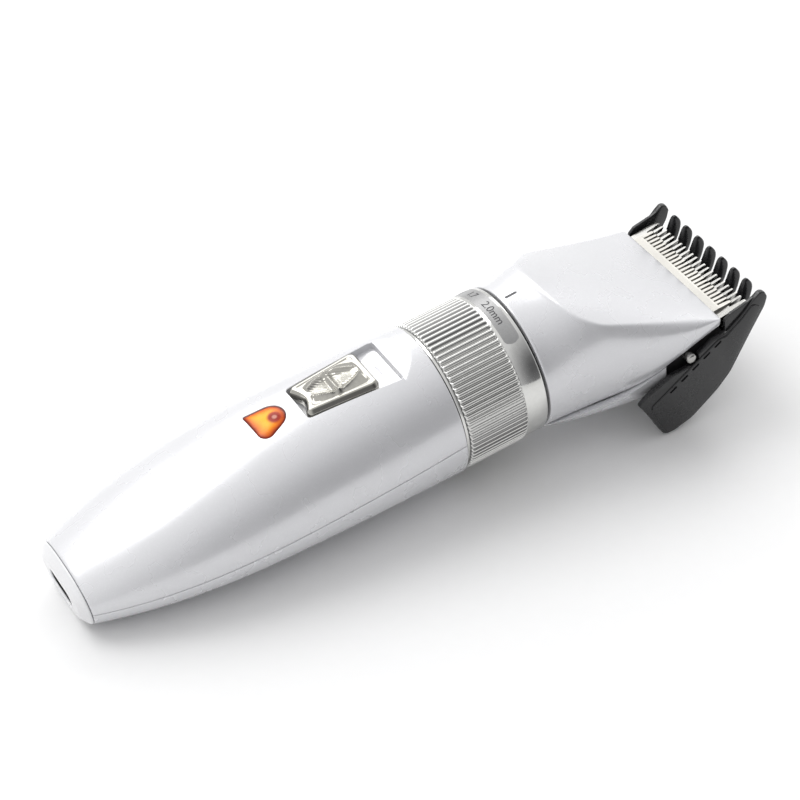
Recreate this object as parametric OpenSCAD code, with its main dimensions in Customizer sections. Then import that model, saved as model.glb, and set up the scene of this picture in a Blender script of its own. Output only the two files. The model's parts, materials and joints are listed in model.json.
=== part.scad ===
// Cordless pet clipper with a taper ring, a toothed blade set and a guide comb.
// Every module is drawn about the body axis (x towards the blades, z towards the switch);
// rest_pose() then stands the clipper on its tail edge and on the feet of the comb.

/* [Handle] */
// Length of the handle, from the taper ring back to the tail face
handle_len = 101; // [96:1:106]
// Radius of the handle where it meets the taper ring
ring_end_r = 20; // [19.5:0.1:20.5]
// Widest half width of the handle
belly_half_w = 21.75; // [21.3:0.05:22.5]
// Half width of the tail end
tail_half_w = 12.35; // [11.8:0.05:13]
// Height of the tail end above the parting line
tail_top = 6; // [5.8:0.1:6.6]
// Depth of the tail end below the parting line
tail_drop = 7.2; // [6.8:0.1:7.6]
// Wall thickness of the shells
wall = 1.8; // [1.6:0.1:2]
// Chamfer round the tail face
tail_chamfer = 2; // [1.5:0.1:2.2]

/* [Taper ring] */
// Width of the ring, with its gaps
ring_w = 23.56; // [23:0.1:24]
// Number of ribs round the ring
ring_ribs = 80; // [60:4:96]
// Turn between the longest and the shortest cut
ring_turn = 90; // [60:5:90]
// Number of cutting lengths
ring_steps = 5; // [3:1:5]
// Travel of the moving blade over the whole turn
blade_travel = 1.2; // [0.8:0.1:1.2]

/* [Head] */
// Distance of the head's front edge from the handle's end
head_front = 73.6; // [73:0.1:74]
// Radius of the head behind the facet
head_r = 19.34; // [19:0.05:19.6]
// Slope of the top facet, in millimetres per millimetre
facet_slope = 0.4877; // [0.46:0.01:0.5]
// Distance of the blade tips from the handle's end
tip_x = 82.7; // [82.5:0.1:83]

/* [Blades] */
// Number of fine teeth on the fixed blade
fixed_teeth = 21; // [17:2:21]
// Pitch of the fixed blade's teeth
fixed_pitch = 1.705; // [1.6:0.005:1.75]
// Number of slots in the moving blade
moving_slots = 24; // [16:2:24]
// Pitch of the moving blade's teeth
moving_pitch = 1.4; // [1.2:0.05:1.4]
// Throw of the eccentric pin
throw = 1; // [0.6:0.1:1]

/* [Guide comb] */
// Number of teeth between the two side walls
comb_teeth = 7; // [5:1:9]
// Pitch of the comb's teeth
comb_pitch = 5.18; // [3.9:0.01:5.2]
// Thickness of a comb tooth
comb_tooth_t = 3.4; // [2:0.1:3.4]

/* [Hidden] */

// Stations and facets of the lofted shells
handle_steps = 22;
head_steps = 20;
arc_steps = 26;

// Resting pose: the tail's lower edge and the comb's round feet touch the ground
tail_x = -handle_len;
cap_x = tail_x + tail_chamfer + 0.4;
foot_x = 56;
foot_z = -26.5;
foot_r = 3;
rest_x = tail_x + tail_chamfer;
rest_z = -bottom_h(rest_x);
foot_dist = norm([foot_x - rest_x, foot_z - rest_z]);
pitch = asin(foot_r / foot_dist) - atan2(foot_z - rest_z, foot_x - rest_x);
lift = -(rest_x * sin(pitch) + rest_z * cos(pitch));
// The highest-reaching comb tip and the tail face give the middle of the length
comb_tip = [87.2, 0.2];
tip_reach = comb_tip[0] * cos(pitch) - comb_tip[1] * sin(pitch);
tail_face_top = tail_top - tail_chamfer;
tail_reach = tail_x * cos(pitch) - tail_face_top * sin(pitch);
shift = -(tip_reach + tail_reach) / 2;

module rest_pose() {
    translate([shift, 0, lift]) rotate([0, -pitch, 0]) children();
}

// Handle section: half width, height above and depth below the parting line, exponent
widest_x = -45;
function tail_t(x) = -x / handle_len;
function half_w(x) = x > widest_x
    ? belly_half_w - (belly_half_w - ring_end_r) * pow((x - widest_x) / widest_x, 2)
    : belly_half_w - (belly_half_w - tail_half_w)
      * pow((widest_x - x) / (widest_x + handle_len), 2.5);
function top_h(x) = ring_end_r - (ring_end_r - tail_top) * pow(tail_t(x), 3);
function bottom_h(x) = ring_end_r - (ring_end_r - tail_drop) * pow(tail_t(x), 0.9);
function handle_exp(x) = 2 + 0.4 * tail_t(x);

// One point of a superellipse with half axes w and h
function oval(x, w, h, n, a) =
    let (c = cos(a), s = sin(a))
    [x, w * sign(c) * pow(abs(c), 2 / n), h * sign(s) * pow(abs(s), 2 / n)];
function handle_h(x, a) = a > 180 ? bottom_h(x) : top_h(x);
function handle_pt(x, off, a) =
    oval(x, half_w(x) - off, handle_h(x, a) - off, handle_exp(x), a);
// A C-shaped ring: the outer arc there and the inner arc back
function handle_c(x, a0, a1) = concat(
    [for (i = [0:arc_steps]) handle_pt(x, 0, a0 + (a1 - a0) * i / arc_steps)],
    [for (i = [arc_steps:-1:0]) handle_pt(x, wall, a0 + (a1 - a0) * i / arc_steps)]);

// Skin a stack of rings that all have the same number of points. The end faces of a C-shaped
// ring are strips between its two arcs; those of a convex ring are single faces.
module loft(rings, c_shaped = false) {
    m = len(rings[0]);
    last = (len(rings) - 1) * m;
    points = [for (r = rings) each r];
    sides = [for (j = [0:len(rings) - 2], i = [0:m - 1])
        let (a = j * m + i, b = j * m + (i + 1) % m)
        each [[a, a + m, b], [b, a + m, b + m]]];
    strip = [for (i = [0:m / 2 - 2]) each [[i, i + 1, m - 1 - i], [i + 1, m - 2 - i, m - 1 - i]]];
    ends = c_shaped
        ? concat(strip, [for (t = strip) [last + t[2], last + t[1], last + t[0]]])
        : [[for (i = [0:m - 1]) i], [for (i = [m - 1:-1:0]) last + i]];
    polyhedron(points, concat(sides, ends), convexity = 8);
}

// Shift a ring's parting edges by gap so that the two halves don't touch
function lift_ring(ring, gap) = [for (p = ring) [p[0], p[1], p[2] + gap]];

function stations(a, b, n) = [for (i = [0:n]) a + (b - a) * i / n];
shell_x = stations(cap_x + 0.05, -0.2, handle_steps);

// A slot with round ends, lying along y and drilled along x
module oblong(x0, x1, w, h, z) {
    span = w - h;
    translate([x0, -span / 2, z - h / 2]) cube([x1 - x0, span, h]);
    for (s = [-1, 1]) translate([x0, s * span / 2, z])
        rotate([0, 90, 0]) cylinder(h = x1 - x0, d = h, $fn = 48);
}

// Switch recess and knob outline, seen from above
recess_back = -33.6;
recess_front = -8.4;
recess_floor = 16.6;
function recess_half(x) = 5.9 + 2 * (x - recess_back) / (recess_front - recess_back);
module recess_outline(gap, front) {
    round_r = 1.2;
    inset = gap + round_r;
    offset(r = round_r, $fn = 24) polygon([
        for (q = [[recess_back, 1], [front, 1], [front, -1], [recess_back, -1]])
            [q[0] + (q[0] == front ? -inset : inset), q[1] * (recess_half(q[0]) - inset)]]);
}
knob_front = -13.6;

// Lamp window outline: a drop with its point towards the tail
lens_x = -41.5;
module drop_outline(gap) {
    offset(delta = -gap) hull() {
        translate([lens_x + 1.2, 0]) circle(r = 3.6, $fn = 40);
        translate([lens_x - 3.6, 4]) circle(r = 0.8, $fn = 24);
        translate([lens_x - 2.4, -4]) circle(r = 1.5, $fn = 24);
    }
}

// Screw post in the tail; the other end of the shells is held by the neck's flange
screw_post_x = -87;
screw_seat = 1.1 - bottom_h(screw_post_x);

module top_shell() {
    color("gainsboro") rest_pose() difference() {
        union() {
            loft([for (x = shell_x) lift_ring(handle_c(x, 0, 180), 0.06)], true);
            translate([0, 0, recess_floor - 1.4]) linear_extrude(2.1)
                recess_outline(-1.2, recess_front);
            translate([screw_post_x, 0, 1])
                cylinder(r = 2.6, h = top_h(screw_post_x) - wall / 2 - 1, $fn = 40);
        }
        translate([0, 0, recess_floor]) linear_extrude(6) recess_outline(0, recess_front);
        translate([-25.6, -2, recess_floor - 3]) cube([10.2, 4, 6]);
        translate([0, 0, 12]) linear_extrude(12) drop_outline(0);
        translate([screw_post_x, 0, 0]) cylinder(r = 1.1, h = 7, $fn = 32);
    }
}

module bottom_shell() {
    color("gainsboro") rest_pose() difference() {
        loft([for (x = shell_x) lift_ring(handle_c(x, 180, 360), -0.06)], true);
        translate([screw_post_x, 0, -22]) cylinder(r = 1.4, h = 22, $fn = 32);
        translate([screw_post_x, 0, -22]) cylinder(r = 2.5, h = 22 + screw_seat, $fn = 40);
    }
}

module shell_screw() {
    color("silver") rest_pose() translate([screw_post_x, 0, screw_seat]) difference() {
        union() {
            cylinder(r = 1.0, h = 5 - screw_seat, $fn = 32);
            translate([0, 0, -0.8]) cylinder(r = 2.2, h = 0.8, $fn = 40);
        }
        for (a = [0, 90]) rotate([0, 0, a]) translate([-1.4, -0.3, -1.2]) cube([2.8, 0.6, 0.8]);
    }
}

// Tail end: a chamfered cap with an oblong hole for the charging inlet
inlet_w = 14.8;
inlet_h = 7.6;
inlet_z = -0.6;
pin_y = 3.3;
pin_tail_r = 0.8;
function full_ring(x, sec_x, off) =
    [for (i = [0:2 * arc_steps - 1]) let (p = handle_pt(sec_x, off, 180 * i / arc_steps)) [x, p[1], p[2]]];
module tail_cap() {
    color("whitesmoke") rest_pose() difference() {
        loft([full_ring(tail_x, tail_x, tail_chamfer), full_ring(rest_x, rest_x, 0),
              full_ring(cap_x - 0.05, cap_x, 0)]);
        oblong(tail_x - 1, cap_x + 1, inlet_w + 0.2, inlet_h + 0.2, inlet_z);
    }
}

module charge_inlet() {
    color("dimgray") rest_pose() difference() {
        oblong(tail_x + 0.4, tail_x + 11.4, inlet_w, inlet_h, inlet_z);
        oblong(tail_x - 1, tail_x + 9.4, inlet_w - 1.4, inlet_h - 1.4, inlet_z);
        for (s = [-1, 1]) translate([tail_x + 5, s * pin_y, inlet_z])
            rotate([0, 90, 0]) cylinder(r = pin_tail_r + 0.02, h = 12, $fn = 32);
    }
}

// Contact pins: a thick end inside the socket and a thin tail through its floor
module charge_pins() {
    color("silver") rest_pose() for (s = [-1, 1]) translate([tail_x + 2.1, s * pin_y, inlet_z])
        rotate([0, 90, 0]) {
            cylinder(r = 1, h = 7.2, $fn = 40);
            cylinder(r = pin_tail_r, h = 12, $fn = 32);
        }
}

// Two rechargeable cells side by side
cell_r = 7.2;
cell_y = 7.35;
cell_x = -76;
cell_len = 50;
module battery_cells() {
    color("seagreen") rest_pose() for (s = [-1, 1]) translate([cell_x, s * cell_y, 0])
        rotate([0, 90, 0]) {
            cylinder(r = cell_r, h = cell_len - 1, $fn = 64);
            translate([0, 0, cell_len - 1]) cylinder(r = 2.8, h = 1, $fn = 40);
        }
}

module cell_terminals() {
    color("silver") rest_pose() {
        translate([cell_x - 0.5, -11, -2.5]) cube([0.4, 22, 5]);
        for (s = [-1, 1]) translate([cell_x + cell_len + 0.1, s * cell_y - 3, -2.5])
            cube([0.4, 6, 5]);
    }
}

// Where the two leads pass through it
lead_y = 8.6;
lead_z = -0.6;
module cell_spacer() {
    color("white") rest_pose() difference() {
        translate([cell_x + cell_len + 0.6, -14, -6.5]) cube([1.2, 28, 13]);
        for (s = [-1, 1]) translate([cell_x + cell_len, s * lead_y, lead_z])
            rotate([0, 90, 0]) cylinder(r = 1.2, h = 4, $fn = 32);
    }
}

// Circuit board above the cells
board_z = 10.3;
module circuit_board() {
    color("darkgreen") rest_pose() difference() {
        translate([-58, -8, board_z]) cube([44, 16, 1.6]);
        for (x = [-55.5, -16.5]) translate([x, 0, board_z - 1]) cylinder(r = 1.3, h = 4, $fn = 32);
    }
}

module board_parts() {
    color("black") rest_pose() {
        translate([-53, -4, board_z + 1.65]) cylinder(r = 2.2, h = 3.2, $fn = 40);
        translate([-49, 2, board_z + 1.65]) cube([5, 3.5, 1.2]);
        translate([-36.5, -5.5, board_z + 1.65]) cube([3.5, 4, 1.4]);
        for (i = [0:3]) translate([-48 + 2.4 * i, -6.4, board_z + 1.65]) cube([1.2, 2, 0.6]);
    }
}

module led() {
    color("red") rest_pose() translate([lens_x, 0, board_z + 1.65]) {
        cylinder(r = 1.9, h = 0.8, $fn = 40);
        cylinder(r = 1.5, h = 2.9, $fn = 40);
        translate([0, 0, 2.9]) sphere(r = 1.5, $fn = 40);
    }
}

// Lamp window, crowned to the shell and set a hair below it
module led_lens() {
    color("orange") rest_pose() intersection() {
        translate([0, 0, 16.6]) linear_extrude(4) drop_outline(0.15);
        loft([for (x = stations(-50, -34, 4)) full_ring(x, x, 0.15)]);
    }
}

// Slide switch on the board, its slider and the chromed knob
module switch_housing() {
    color("black") rest_pose() difference() {
        translate([-28, -3.6, board_z + 1.65]) cube([15, 7.2, 3]);
        translate([-25.8, -1.7, board_z + 2.8]) cube([10.8, 3.4, 4]);
    }
}

module switch_slider() {
    color("black") rest_pose() translate([-25.2, -1.3, board_z + 3.1])
        cube([4.4, 2.6, recess_floor + 0.9 - board_z - 3.1]);
}

module switch_knob() {
    color("silver") rest_pose() difference() {
        union() {
            translate([0, 0, recess_floor + 0.2]) linear_extrude(1.5)
                recess_outline(0.4, knob_front);
            translate([0, 0, recess_floor + 1.6]) linear_extrude(1.1)
                recess_outline(1.3, knob_front);
        }
        translate([-25.3, -1.4, recess_floor - 0.1]) cube([4.6, 2.8, 1.1]);
        translate([-22.7, -9, recess_floor + 3.4]) rotate([-90, 0, 0])
            cylinder(r = 1.5, h = 18, $fn = 40);
    }
}

// Neck: the tube that joins handle and head and carries the ring
neck_r = 17.34;
neck_bore = 14.2;
neck_back = -4;
neck_front = 34;
flange_r = 17.6;
follower_x = 12;
module neck() {
    color("dimgray") rest_pose() difference() {
        union() {
            translate([neck_back, 0, 0]) rotate([0, 90, 0])
                cylinder(r = neck_r, h = neck_front - neck_back, $fn = 96);
            translate([-2.6, 0, 0]) rotate([0, 90, 0]) cylinder(r = flange_r, h = 2, $fn = 96);
        }
        translate([neck_back - 1, 0, 0]) rotate([0, 90, 0])
            cylinder(r = neck_bore, h = neck_front - neck_back + 2, $fn = 96);
        translate([follower_x - 1.7, -1.7, -20]) cube([blade_travel + 3.4, 3.4, 8]);
        translate([3.5, -2.5, 15.6]) cube([17, 5, 4]);
    }
}

// Leaf with a round nose that clicks into the ring's grooves
module detent_spring() {
    color("silver") rest_pose() {
        translate([4, -2, 15.65]) cube([16, 4, 0.4]);
        translate([8, 0, 16.48]) rotate([0, 90, 0]) cylinder(r = 0.85, h = 8, $fn = 32);
    }
}

// Taper ring: ribbed in the middle, plain at both lips, with detents and a cam track inside
rib_r = 19.8;
rib_root = 19.25;
rib_back = 1.6;
rib_front = 17.4;
module taper_ring() {
    step = 360 / ring_ribs;
    color("silver") rest_pose() difference() {
        union() {
            translate([rib_back, 0, 0]) rotate([0, 90, 0]) linear_extrude(rib_front - rib_back)
                polygon([for (i = [0:ring_ribs - 1], q = [[0.1, rib_root], [0.35, rib_r], [0.75, rib_r]])
                    let (a = (i + q[0]) * step) [q[1] * cos(a), q[1] * sin(a)]]);
            translate([0.35, 0, 0]) rotate([0, 90, 0])
                cylinder(r = 19.6, h = rib_back + 0.1 - 0.35, $fn = 96);
            translate([rib_front - 0.1, 0, 0]) rotate([0, 90, 0])
                cylinder(r = 19.45, h = ring_w - 0.35 - rib_front + 0.1, $fn = 96);
        }
        translate([-1, 0, 0]) rotate([0, 90, 0]) cylinder(r = neck_r + 0.06, h = 30, $fn = 96);
        for (i = [0:ring_steps - 1]) rotate([-ring_turn * i / (ring_steps - 1), 0, 0])
            translate([7, 0, neck_r]) rotate([0, 90, 0]) cylinder(r = 0.7, h = 10, $fn = 24);
        for (i = [0:12]) rotate([-ring_turn * i / 12, 0, 0])
            translate([follower_x - 1.7 + blade_travel * i / 12, -1.9, -18.5]) cube([3.4, 3.8, 2]);
    }
}

// Small permanent-magnet motor: can, end cap, magnets, rotor and shaft
motor_r = 10;
motor_back = -20;
motor_front = 8;
module along_x(x) {
    translate([x, 0, 0]) rotate([0, 90, 0]) children();
}

module motor_can() {
    color("silver") rest_pose() difference() {
        union() {
            along_x(motor_back) cylinder(r = motor_r, h = motor_front - motor_back, $fn = 80);
            along_x(motor_front - 0.1) cylinder(r = 3, h = 1, $fn = 48);
        }
        along_x(motor_back - 1) cylinder(r = motor_r - 0.8, h = motor_front - motor_back - 0.2, $fn = 80);
        along_x(motor_front - 3) cylinder(r = 1.05, h = 6, $fn = 32);
    }
}

module motor_end_cap() {
    color("white") rest_pose() difference() {
        union() {
            along_x(motor_back - 1.6) cylinder(r = motor_r - 0.2, h = 1.5, $fn = 80);
            along_x(motor_back - 0.2) cylinder(r = motor_r - 0.9, h = 1.8, $fn = 80);
        }
        along_x(motor_back - 3) cylinder(r = 1.05, h = 6, $fn = 32);
    }
}

module motor_magnets() {
    color("dimgray") rest_pose() intersection() {
        along_x(motor_back + 4) rotate_extrude($fn = 80) translate([motor_r - 2.7, 0])
            square([1.8, 19]);
        for (s = [-1, 1]) translate([motor_back, s * 8.5 - 4, -8]) cube([30, 8, 16]);
    }
}

module motor_rotor() {
    color("peru") rest_pose() difference() {
        union() {
            along_x(motor_back + 5) cylinder(r = motor_r - 3.2, h = 17, $fn = 64);
            along_x(motor_back + 2.2) cylinder(r = 3, h = 2.8, $fn = 48);
        }
        along_x(motor_back) cylinder(r = 1.02, h = 30, $fn = 32);
        for (a = [0:120:240]) rotate([a, 0, 0]) translate([motor_back + 4.9, -0.8, 3.8])
            cube([17.2, 1.6, 4]);
    }
}

module motor_shaft() {
    color("silver") rest_pose() along_x(motor_back - 1.4)
        cylinder(r = 1, h = 13.2 - motor_back + 1.4, $fn = 32);
}

module motor_sleeve() {
    color("black") rest_pose() along_x(neck_back + 0.1) difference() {
        cylinder(r = neck_bore - 0.05, h = 10, $fn = 80);
        translate([0, 0, -1]) cylinder(r = motor_r + 0.05, h = 12, $fn = 80);
    }
}

pin_r = 1.2;
cam_front = 13.6;
module eccentric_cam() {
    color("white") rest_pose() difference() {
        union() {
            along_x(9.6) cylinder(r = 5, h = cam_front - 9.6, $fn = 64);
            translate([0, 0, throw]) along_x(cam_front - 0.2) cylinder(r = pin_r, h = 5.4, $fn = 40);
        }
        along_x(9) cylinder(r = 1.02, h = 4.3, $fn = 32);
    }
}

// Insulated leads from the cells' terminals to the motor's end cap
module lead_wires() {
    start = cell_x + cell_len + 0.55;
    color("firebrick") rest_pose() for (s = [-1, 1]) translate([start, s * lead_y, lead_z])
        rotate([0, 90, 0]) cylinder(r = 0.7, h = motor_back - 1.65 - start, $fn = 24);
}

// Head section: widths and heights from the ring to the front edge
head_back = ring_w + 0.4;
function head_u(x) = max(0, min(1, (x - head_back) / (head_front - head_back)));
function ease(u) = u * u * (3 - 2 * u);
function head_w(x) = head_r + 3.4 * ease(head_u(x)) - 1.6 * pow(head_u(x), 6);
function head_top(x) = min(head_r + 1.5 * ease(min(1, 2 * head_u(x))), 0.6 + 1.28 * facet_z(x, 0));
function head_low(x) = head_r + 0.6 - 0.6 * (1 - head_u(x)) - 12 * ease(max(0, head_u(x) * 2 - 1));
// How square the section is: the upper half soon, the lower half slowly
function head_exp(x) = 2 + 0.4 * ease(min(1, (x - head_back) / 14));
function head_low_exp(x) = 2 + 0.6 * head_u(x);
// Lower edge of the housing's sides
function side_edge(x) = 11.6 - 7.4 * ease(max(0, min(1, (x - 43) / 28)));
// The facet: a slope that is slightly crowned across
facet_z0 = 0.2;
function facet_z(x, y) = facet_z0 + facet_slope * (head_front - x)
    - (0.4 + 3.2 * (head_front - x) / 32.6) * pow(y / 20, 2);
function head_wall(x) = wall - 1.2 * ease(max(0, head_u(x) * 1.6 - 0.6));
function head_pt(x, off, a) =
    let (low = a < 0 || a > 180, h = low ? head_low(x) : head_top(x),
         p = oval(x, head_w(x) - off, h - off, low ? head_low_exp(x) : head_exp(x), a))
    [x, p[1], min(p[2], facet_z(x, p[1]) - off)];
function edge_angle(x, off) =
    asin(pow(side_edge(x) / (head_low(x) - off), head_low_exp(x) / 2));
function head_c(x) =
    let (t = head_wall(x), e0 = edge_angle(x, 0), e1 = edge_angle(x, t), m = 36)
    concat([for (i = [0:m]) head_pt(x, 0, -e0 + (180 + 2 * e0) * i / m)],
           [for (i = [m:-1:0]) head_pt(x, t, -e1 + (180 + 2 * e1) * i / m)]);
module head_housing() {
    color("gainsboro") rest_pose()
        loft([for (x = stations(head_back, head_front, head_steps)) head_c(x)], true);
}

// Bottom cover of the head: round at the ring, square towards the blades
cover_front = 57.4;
function cover_u(x) = (x - head_back) / (cover_front - head_back);
function cover_w(x) = head_r - 0.2 + 1.1 * cover_u(x);
function cover_h(x) = head_r + 1.6 * cover_u(x);
function cover_exp(x) = 2 + 3 * cover_u(x);
function cover_pt(x, off, a) = oval(x, cover_w(x) - off, cover_h(x) - off, cover_exp(x), a);
function cover_angle(x, off) =
    asin(pow((side_edge(x) + 0.3) / (cover_h(x) - off), cover_exp(x) / 2));
function cover_c(x) =
    let (e0 = cover_angle(x, 0), e1 = cover_angle(x, 1.5), m = 28)
    concat([for (i = [0:m]) cover_pt(x, 0, 180 + e0 + (180 - 2 * e0) * i / m)],
           [for (i = [m:-1:0]) cover_pt(x, 1.5, 180 + e1 + (180 - 2 * e1) * i / m)]);
module head_bottom_cover() {
    color("gainsboro") rest_pose()
        loft([for (x = stations(head_back, cover_front, 14)) cover_c(x)], true);
}

// Blade frame: origin at the tips, x forward, z out of the fixed blade's upper face
blade_tilt = 6;
blade_z = -0.6;
module blade_frame() {
    translate([tip_x, 0, blade_z]) rotate([0, -blade_tilt, 0]) children();
}
// A profile in x and z, extruded from y0 to y1
module slab(y0, y1) {
    translate([0, y1, 0]) rotate([90, 0, 0]) linear_extrude(y1 - y0) children();
}

fixed_half = 19.8;
screw_x = -13.4;
screw_y = 13;
module fixed_blade() {
    color("lightgray") rest_pose() blade_frame() difference() {
        slab(-fixed_half, fixed_half)
            polygon([[0, 0], [0, -0.35], [-5.4, -5.6], [-7.2, -5.6], [-9.4, -1.5],
                     [-16.7, -1.5], [-16.7, 0]]);
        for (i = [0:fixed_teeth])
            translate([-4.4, (i - fixed_teeth / 2) * fixed_pitch - 0.4, -7]) cube([6, 0.8, 9]);
        for (s = [-1, 1]) translate([screw_x, s * screw_y, -3]) cylinder(r = 1.1, h = 5, $fn = 32);
    }
}

module moving_blade() {
    color("lightgray") rest_pose() blade_frame() difference() {
        slab(-17.5, 17.5)
            polygon([[-3.1, 0.06], [-3.1, 0.3], [-7, 0.8], [-24.5, 0.8], [-24.5, 0.06]]);
        for (i = [0:moving_slots - 1])
            translate([-6.6, (i - (moving_slots - 1) / 2) * moving_pitch - 0.3, -1])
                cube([5, 0.6, 3]);
        for (s = [-1, 1]) translate([-21.4, s * 5, -1]) cylinder(r = 1.1, h = 3, $fn = 32);
    }
}

// Plastic yoke that carries the eccentric's motion to the moving blade
yoke_top = -3.2;
module drive_yoke() {
    color("white") rest_pose() difference() {
        union() {
            translate([15, -5, -5.2]) cube([3.2, 10, 10.4]);
            translate([15, -3.4, -5.2]) cube([46, 6.8, 2]);
            translate([58.4, -7.4, -5.2]) cube([4.4, 14.8, 1.99]);
            blade_frame() translate([-24, -7.4, -3]) cube([4.4, 14.8, 3.03]);
        }
        translate([14, -pin_r - throw - 0.15, -2.6]) cube([6, 2 * (pin_r + throw + 0.15), 5.6]);
        blade_frame() for (s = [-1, 1]) translate([-21.4, s * 5, -6])
            cylinder(r = 1.1, h = 8, $fn = 32);
    }
}

module yoke_rivets() {
    color("silver") rest_pose() blade_frame() for (s = [-1, 1]) translate([-21.4, s * 5, -1.8]) {
        cylinder(r = 1.05, h = 2.7, $fn = 32);
        translate([0, 0, 2.64]) cylinder(r = 1.8, h = 0.5, $fn = 32);
    }
}

// Black holder under the fixed blade
module blade_base() {
    color("black") rest_pose() difference() {
        union() {
            for (y = [-19, 9]) slab(y, y + 10)
                polygon([[58.2, -6], [66.2, -4.0], [73.3, -3.25], [75.4, -7.1], [74.6, -8.6],
                         [70.2, -13.6], [58.2, -19.4]]);
            slab(-19, 19) polygon([[70.2, -13.6], [58.2, -19.4], [58.2, -16.6], [70.2, -10.8]]);
        }
        blade_frame() for (s = [-1, 1]) translate([screw_x, s * screw_y, -20])
            cylinder(r = 1.1, h = 20, $fn = 32);
    }
}

module blade_screws() {
    color("silver") rest_pose() blade_frame() for (s = [-1, 1])
        translate([screw_x, s * screw_y, -7]) cylinder(r = 1.0, h = 6.8, $fn = 32);
}

peg_x = 64;
peg_z = -8.2;
peg_r = 1.5;
module comb_pegs() {
    color("silver") rest_pose() for (s = [-1, 1]) translate([peg_x, s * 19.02, peg_z])
        rotate([-90 * s, 0, 0]) {
            cylinder(r = peg_r, h = 2.6, $fn = 40);
            translate([0, 0, 2.6]) cylinder(r1 = peg_r, r2 = peg_r - 0.7, h = 0.5, $fn = 40);
        }
}

// Carriage that the ring moves fore and aft; it carries the blade's pressure spring
module blade_carriage() {
    color("dimgray") rest_pose() difference() {
        union() {
            translate([10, -4.2, -13.4]) cube([42, 8.4, 1.4]);
            translate([50, -7, -13.4]) cube([3, 14, 12]);
            translate([50, -7, -1.5]) cube([3, 14, 5.5]);
        }
        translate([49, -4.8, -6.4]) cube([5, 9.6, 4.4]);
        translate([follower_x, 0, -15]) cylinder(r = 1.22, h = 4, $fn = 32);
    }
}

module cam_follower() {
    color("silver") rest_pose() translate([follower_x, 0, -18.1]) cylinder(r = 1.2, h = 6.1, $fn = 32);
}

// Bent wire that presses on the moving blade from above
module wire_run(a, b, r) {
    d = b - a;
    translate(a) rotate([0, acos(d[2] / norm(d)), atan2(d[1], d[0])])
        cylinder(r = r, h = norm(d), $fn = 48);
}

module pressure_spring() {
    wire_r = 0.4;
    root = [53.6, 2.4];
    color("silver") rest_pose() for (s = [-1, 1]) {
        wire_run([root[0], s * 9, root[1]], [66, s * 9, -0.45], wire_r);
        translate([root[0], min(0, s * 9.4), root[1]]) rotate([-90, 0, 0])
            cylinder(r = wire_r + 0.1, h = 9.4, $fn = 48);
    }
}

// Guide comb: side walls with feet, a slotted plate and curved teeth
wall_in = 20.6;
wall_out = 22.5;
cheek_t = 0.9;
module comb_wall() {
    difference() {
        polygon([[47.4, -14.8], [50.6, -12.6], [58, -10.1], [65.9, -10.0], [65.9, -7.4],
                 [70.6, -5.2], [74.6, -4.9], [79.8, -1.6], [83.4, 1.6], [85.2, 2.8], [86.6, 1.9],
                 comb_tip, [86.4, -2.4], [82, -8.7], [75.2, -19], [71, -22.8],
                 [62.8, -27.9], [foot_x + 1.2, foot_z - 2.4], [foot_x - 2.9, foot_z],
                 [50, -19.9]]);
        for (i = [0:3]) translate([57.4 + 4.1 * i, -14.2 + 2.25 * i]) rotate(29) square([2.4, 1.1]);
    }
    translate([foot_x, foot_z]) circle(r = foot_r, $fn = 48);
}
// Thin upper part of a wall, beside the blades
module comb_cheek() {
    polygon([[74.5, -6.5], [74.5, -1.4], [76.2, 0], [81.5, 0.9], [84.4, 1.9], [85.2, 0.5],
             [84, -2], [80, -5]]);
}
module comb_tooth() {
    polygon([[84.2, 1.6], [85.2, 2.8], [86.6, 1.9], comb_tip, [86.4, -2.4], [82, -8.7],
             [75.2, -19], [71, -22.8], [68.2, -21.6], [71.6, -17.6], [77.2, -9.9],
             [82.0, -4.4], [83.6, -1.6]]);
}
module guide_comb() {
    color([0.13, 0.13, 0.14]) rest_pose() {
        for (y = [-wall_out, wall_in]) slab(y, y + wall_out - wall_in) comb_wall();
        for (y = [-wall_in - cheek_t, wall_in]) slab(y, y + cheek_t) comb_cheek();
        for (i = [0:comb_teeth - 1]) {
            y = (i - (comb_teeth - 1) / 2) * comb_pitch;
            slab(y - comb_tooth_t / 2, y + comb_tooth_t / 2) comb_tooth();
        }
        difference() {
            slab(-wall_in - 0.2, wall_in + 0.2)
                polygon([[71, -22.8], [62.8, -27.9], [60.4, -26.2], [60.4, -24.6], [69.6, -18.9],
                         [71.6, -20.0]]);
            for (i = [0:2]) translate([61.6 + 2.6 * i, -13, -30]) cube([1.2, 26, 14]);
        }
    }
}

top_shell();
bottom_shell();
tail_cap();
charge_inlet();
charge_pins();
shell_screw();
battery_cells();
cell_terminals();
cell_spacer();
circuit_board();
board_parts();
led();
led_lens();
switch_housing();
switch_knob();
switch_slider();
neck();
detent_spring();
taper_ring();
motor_sleeve();
motor_can();
motor_end_cap();
motor_magnets();
motor_rotor();
motor_shaft();
eccentric_cam();
lead_wires();
head_housing();
head_bottom_cover();
blade_base();
comb_pegs();
fixed_blade();
blade_screws();
blade_carriage();
cam_follower();
pressure_spring();
moving_blade();
drive_yoke();
yoke_rivets();
guide_comb();
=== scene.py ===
"""Looks of the cordless pet clipper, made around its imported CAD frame.

Every piece is drawn in the clipper's own body frame, in millimetres: the origin is where the
handle meets the taper ring, x runs along the motor's axis towards the blades, y to the left
and z towards the switch. PLACE turns that into the row frame, in metres.
"""
import json
import math

import bmesh
import bpy
from mathutils import Matrix, Vector


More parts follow.
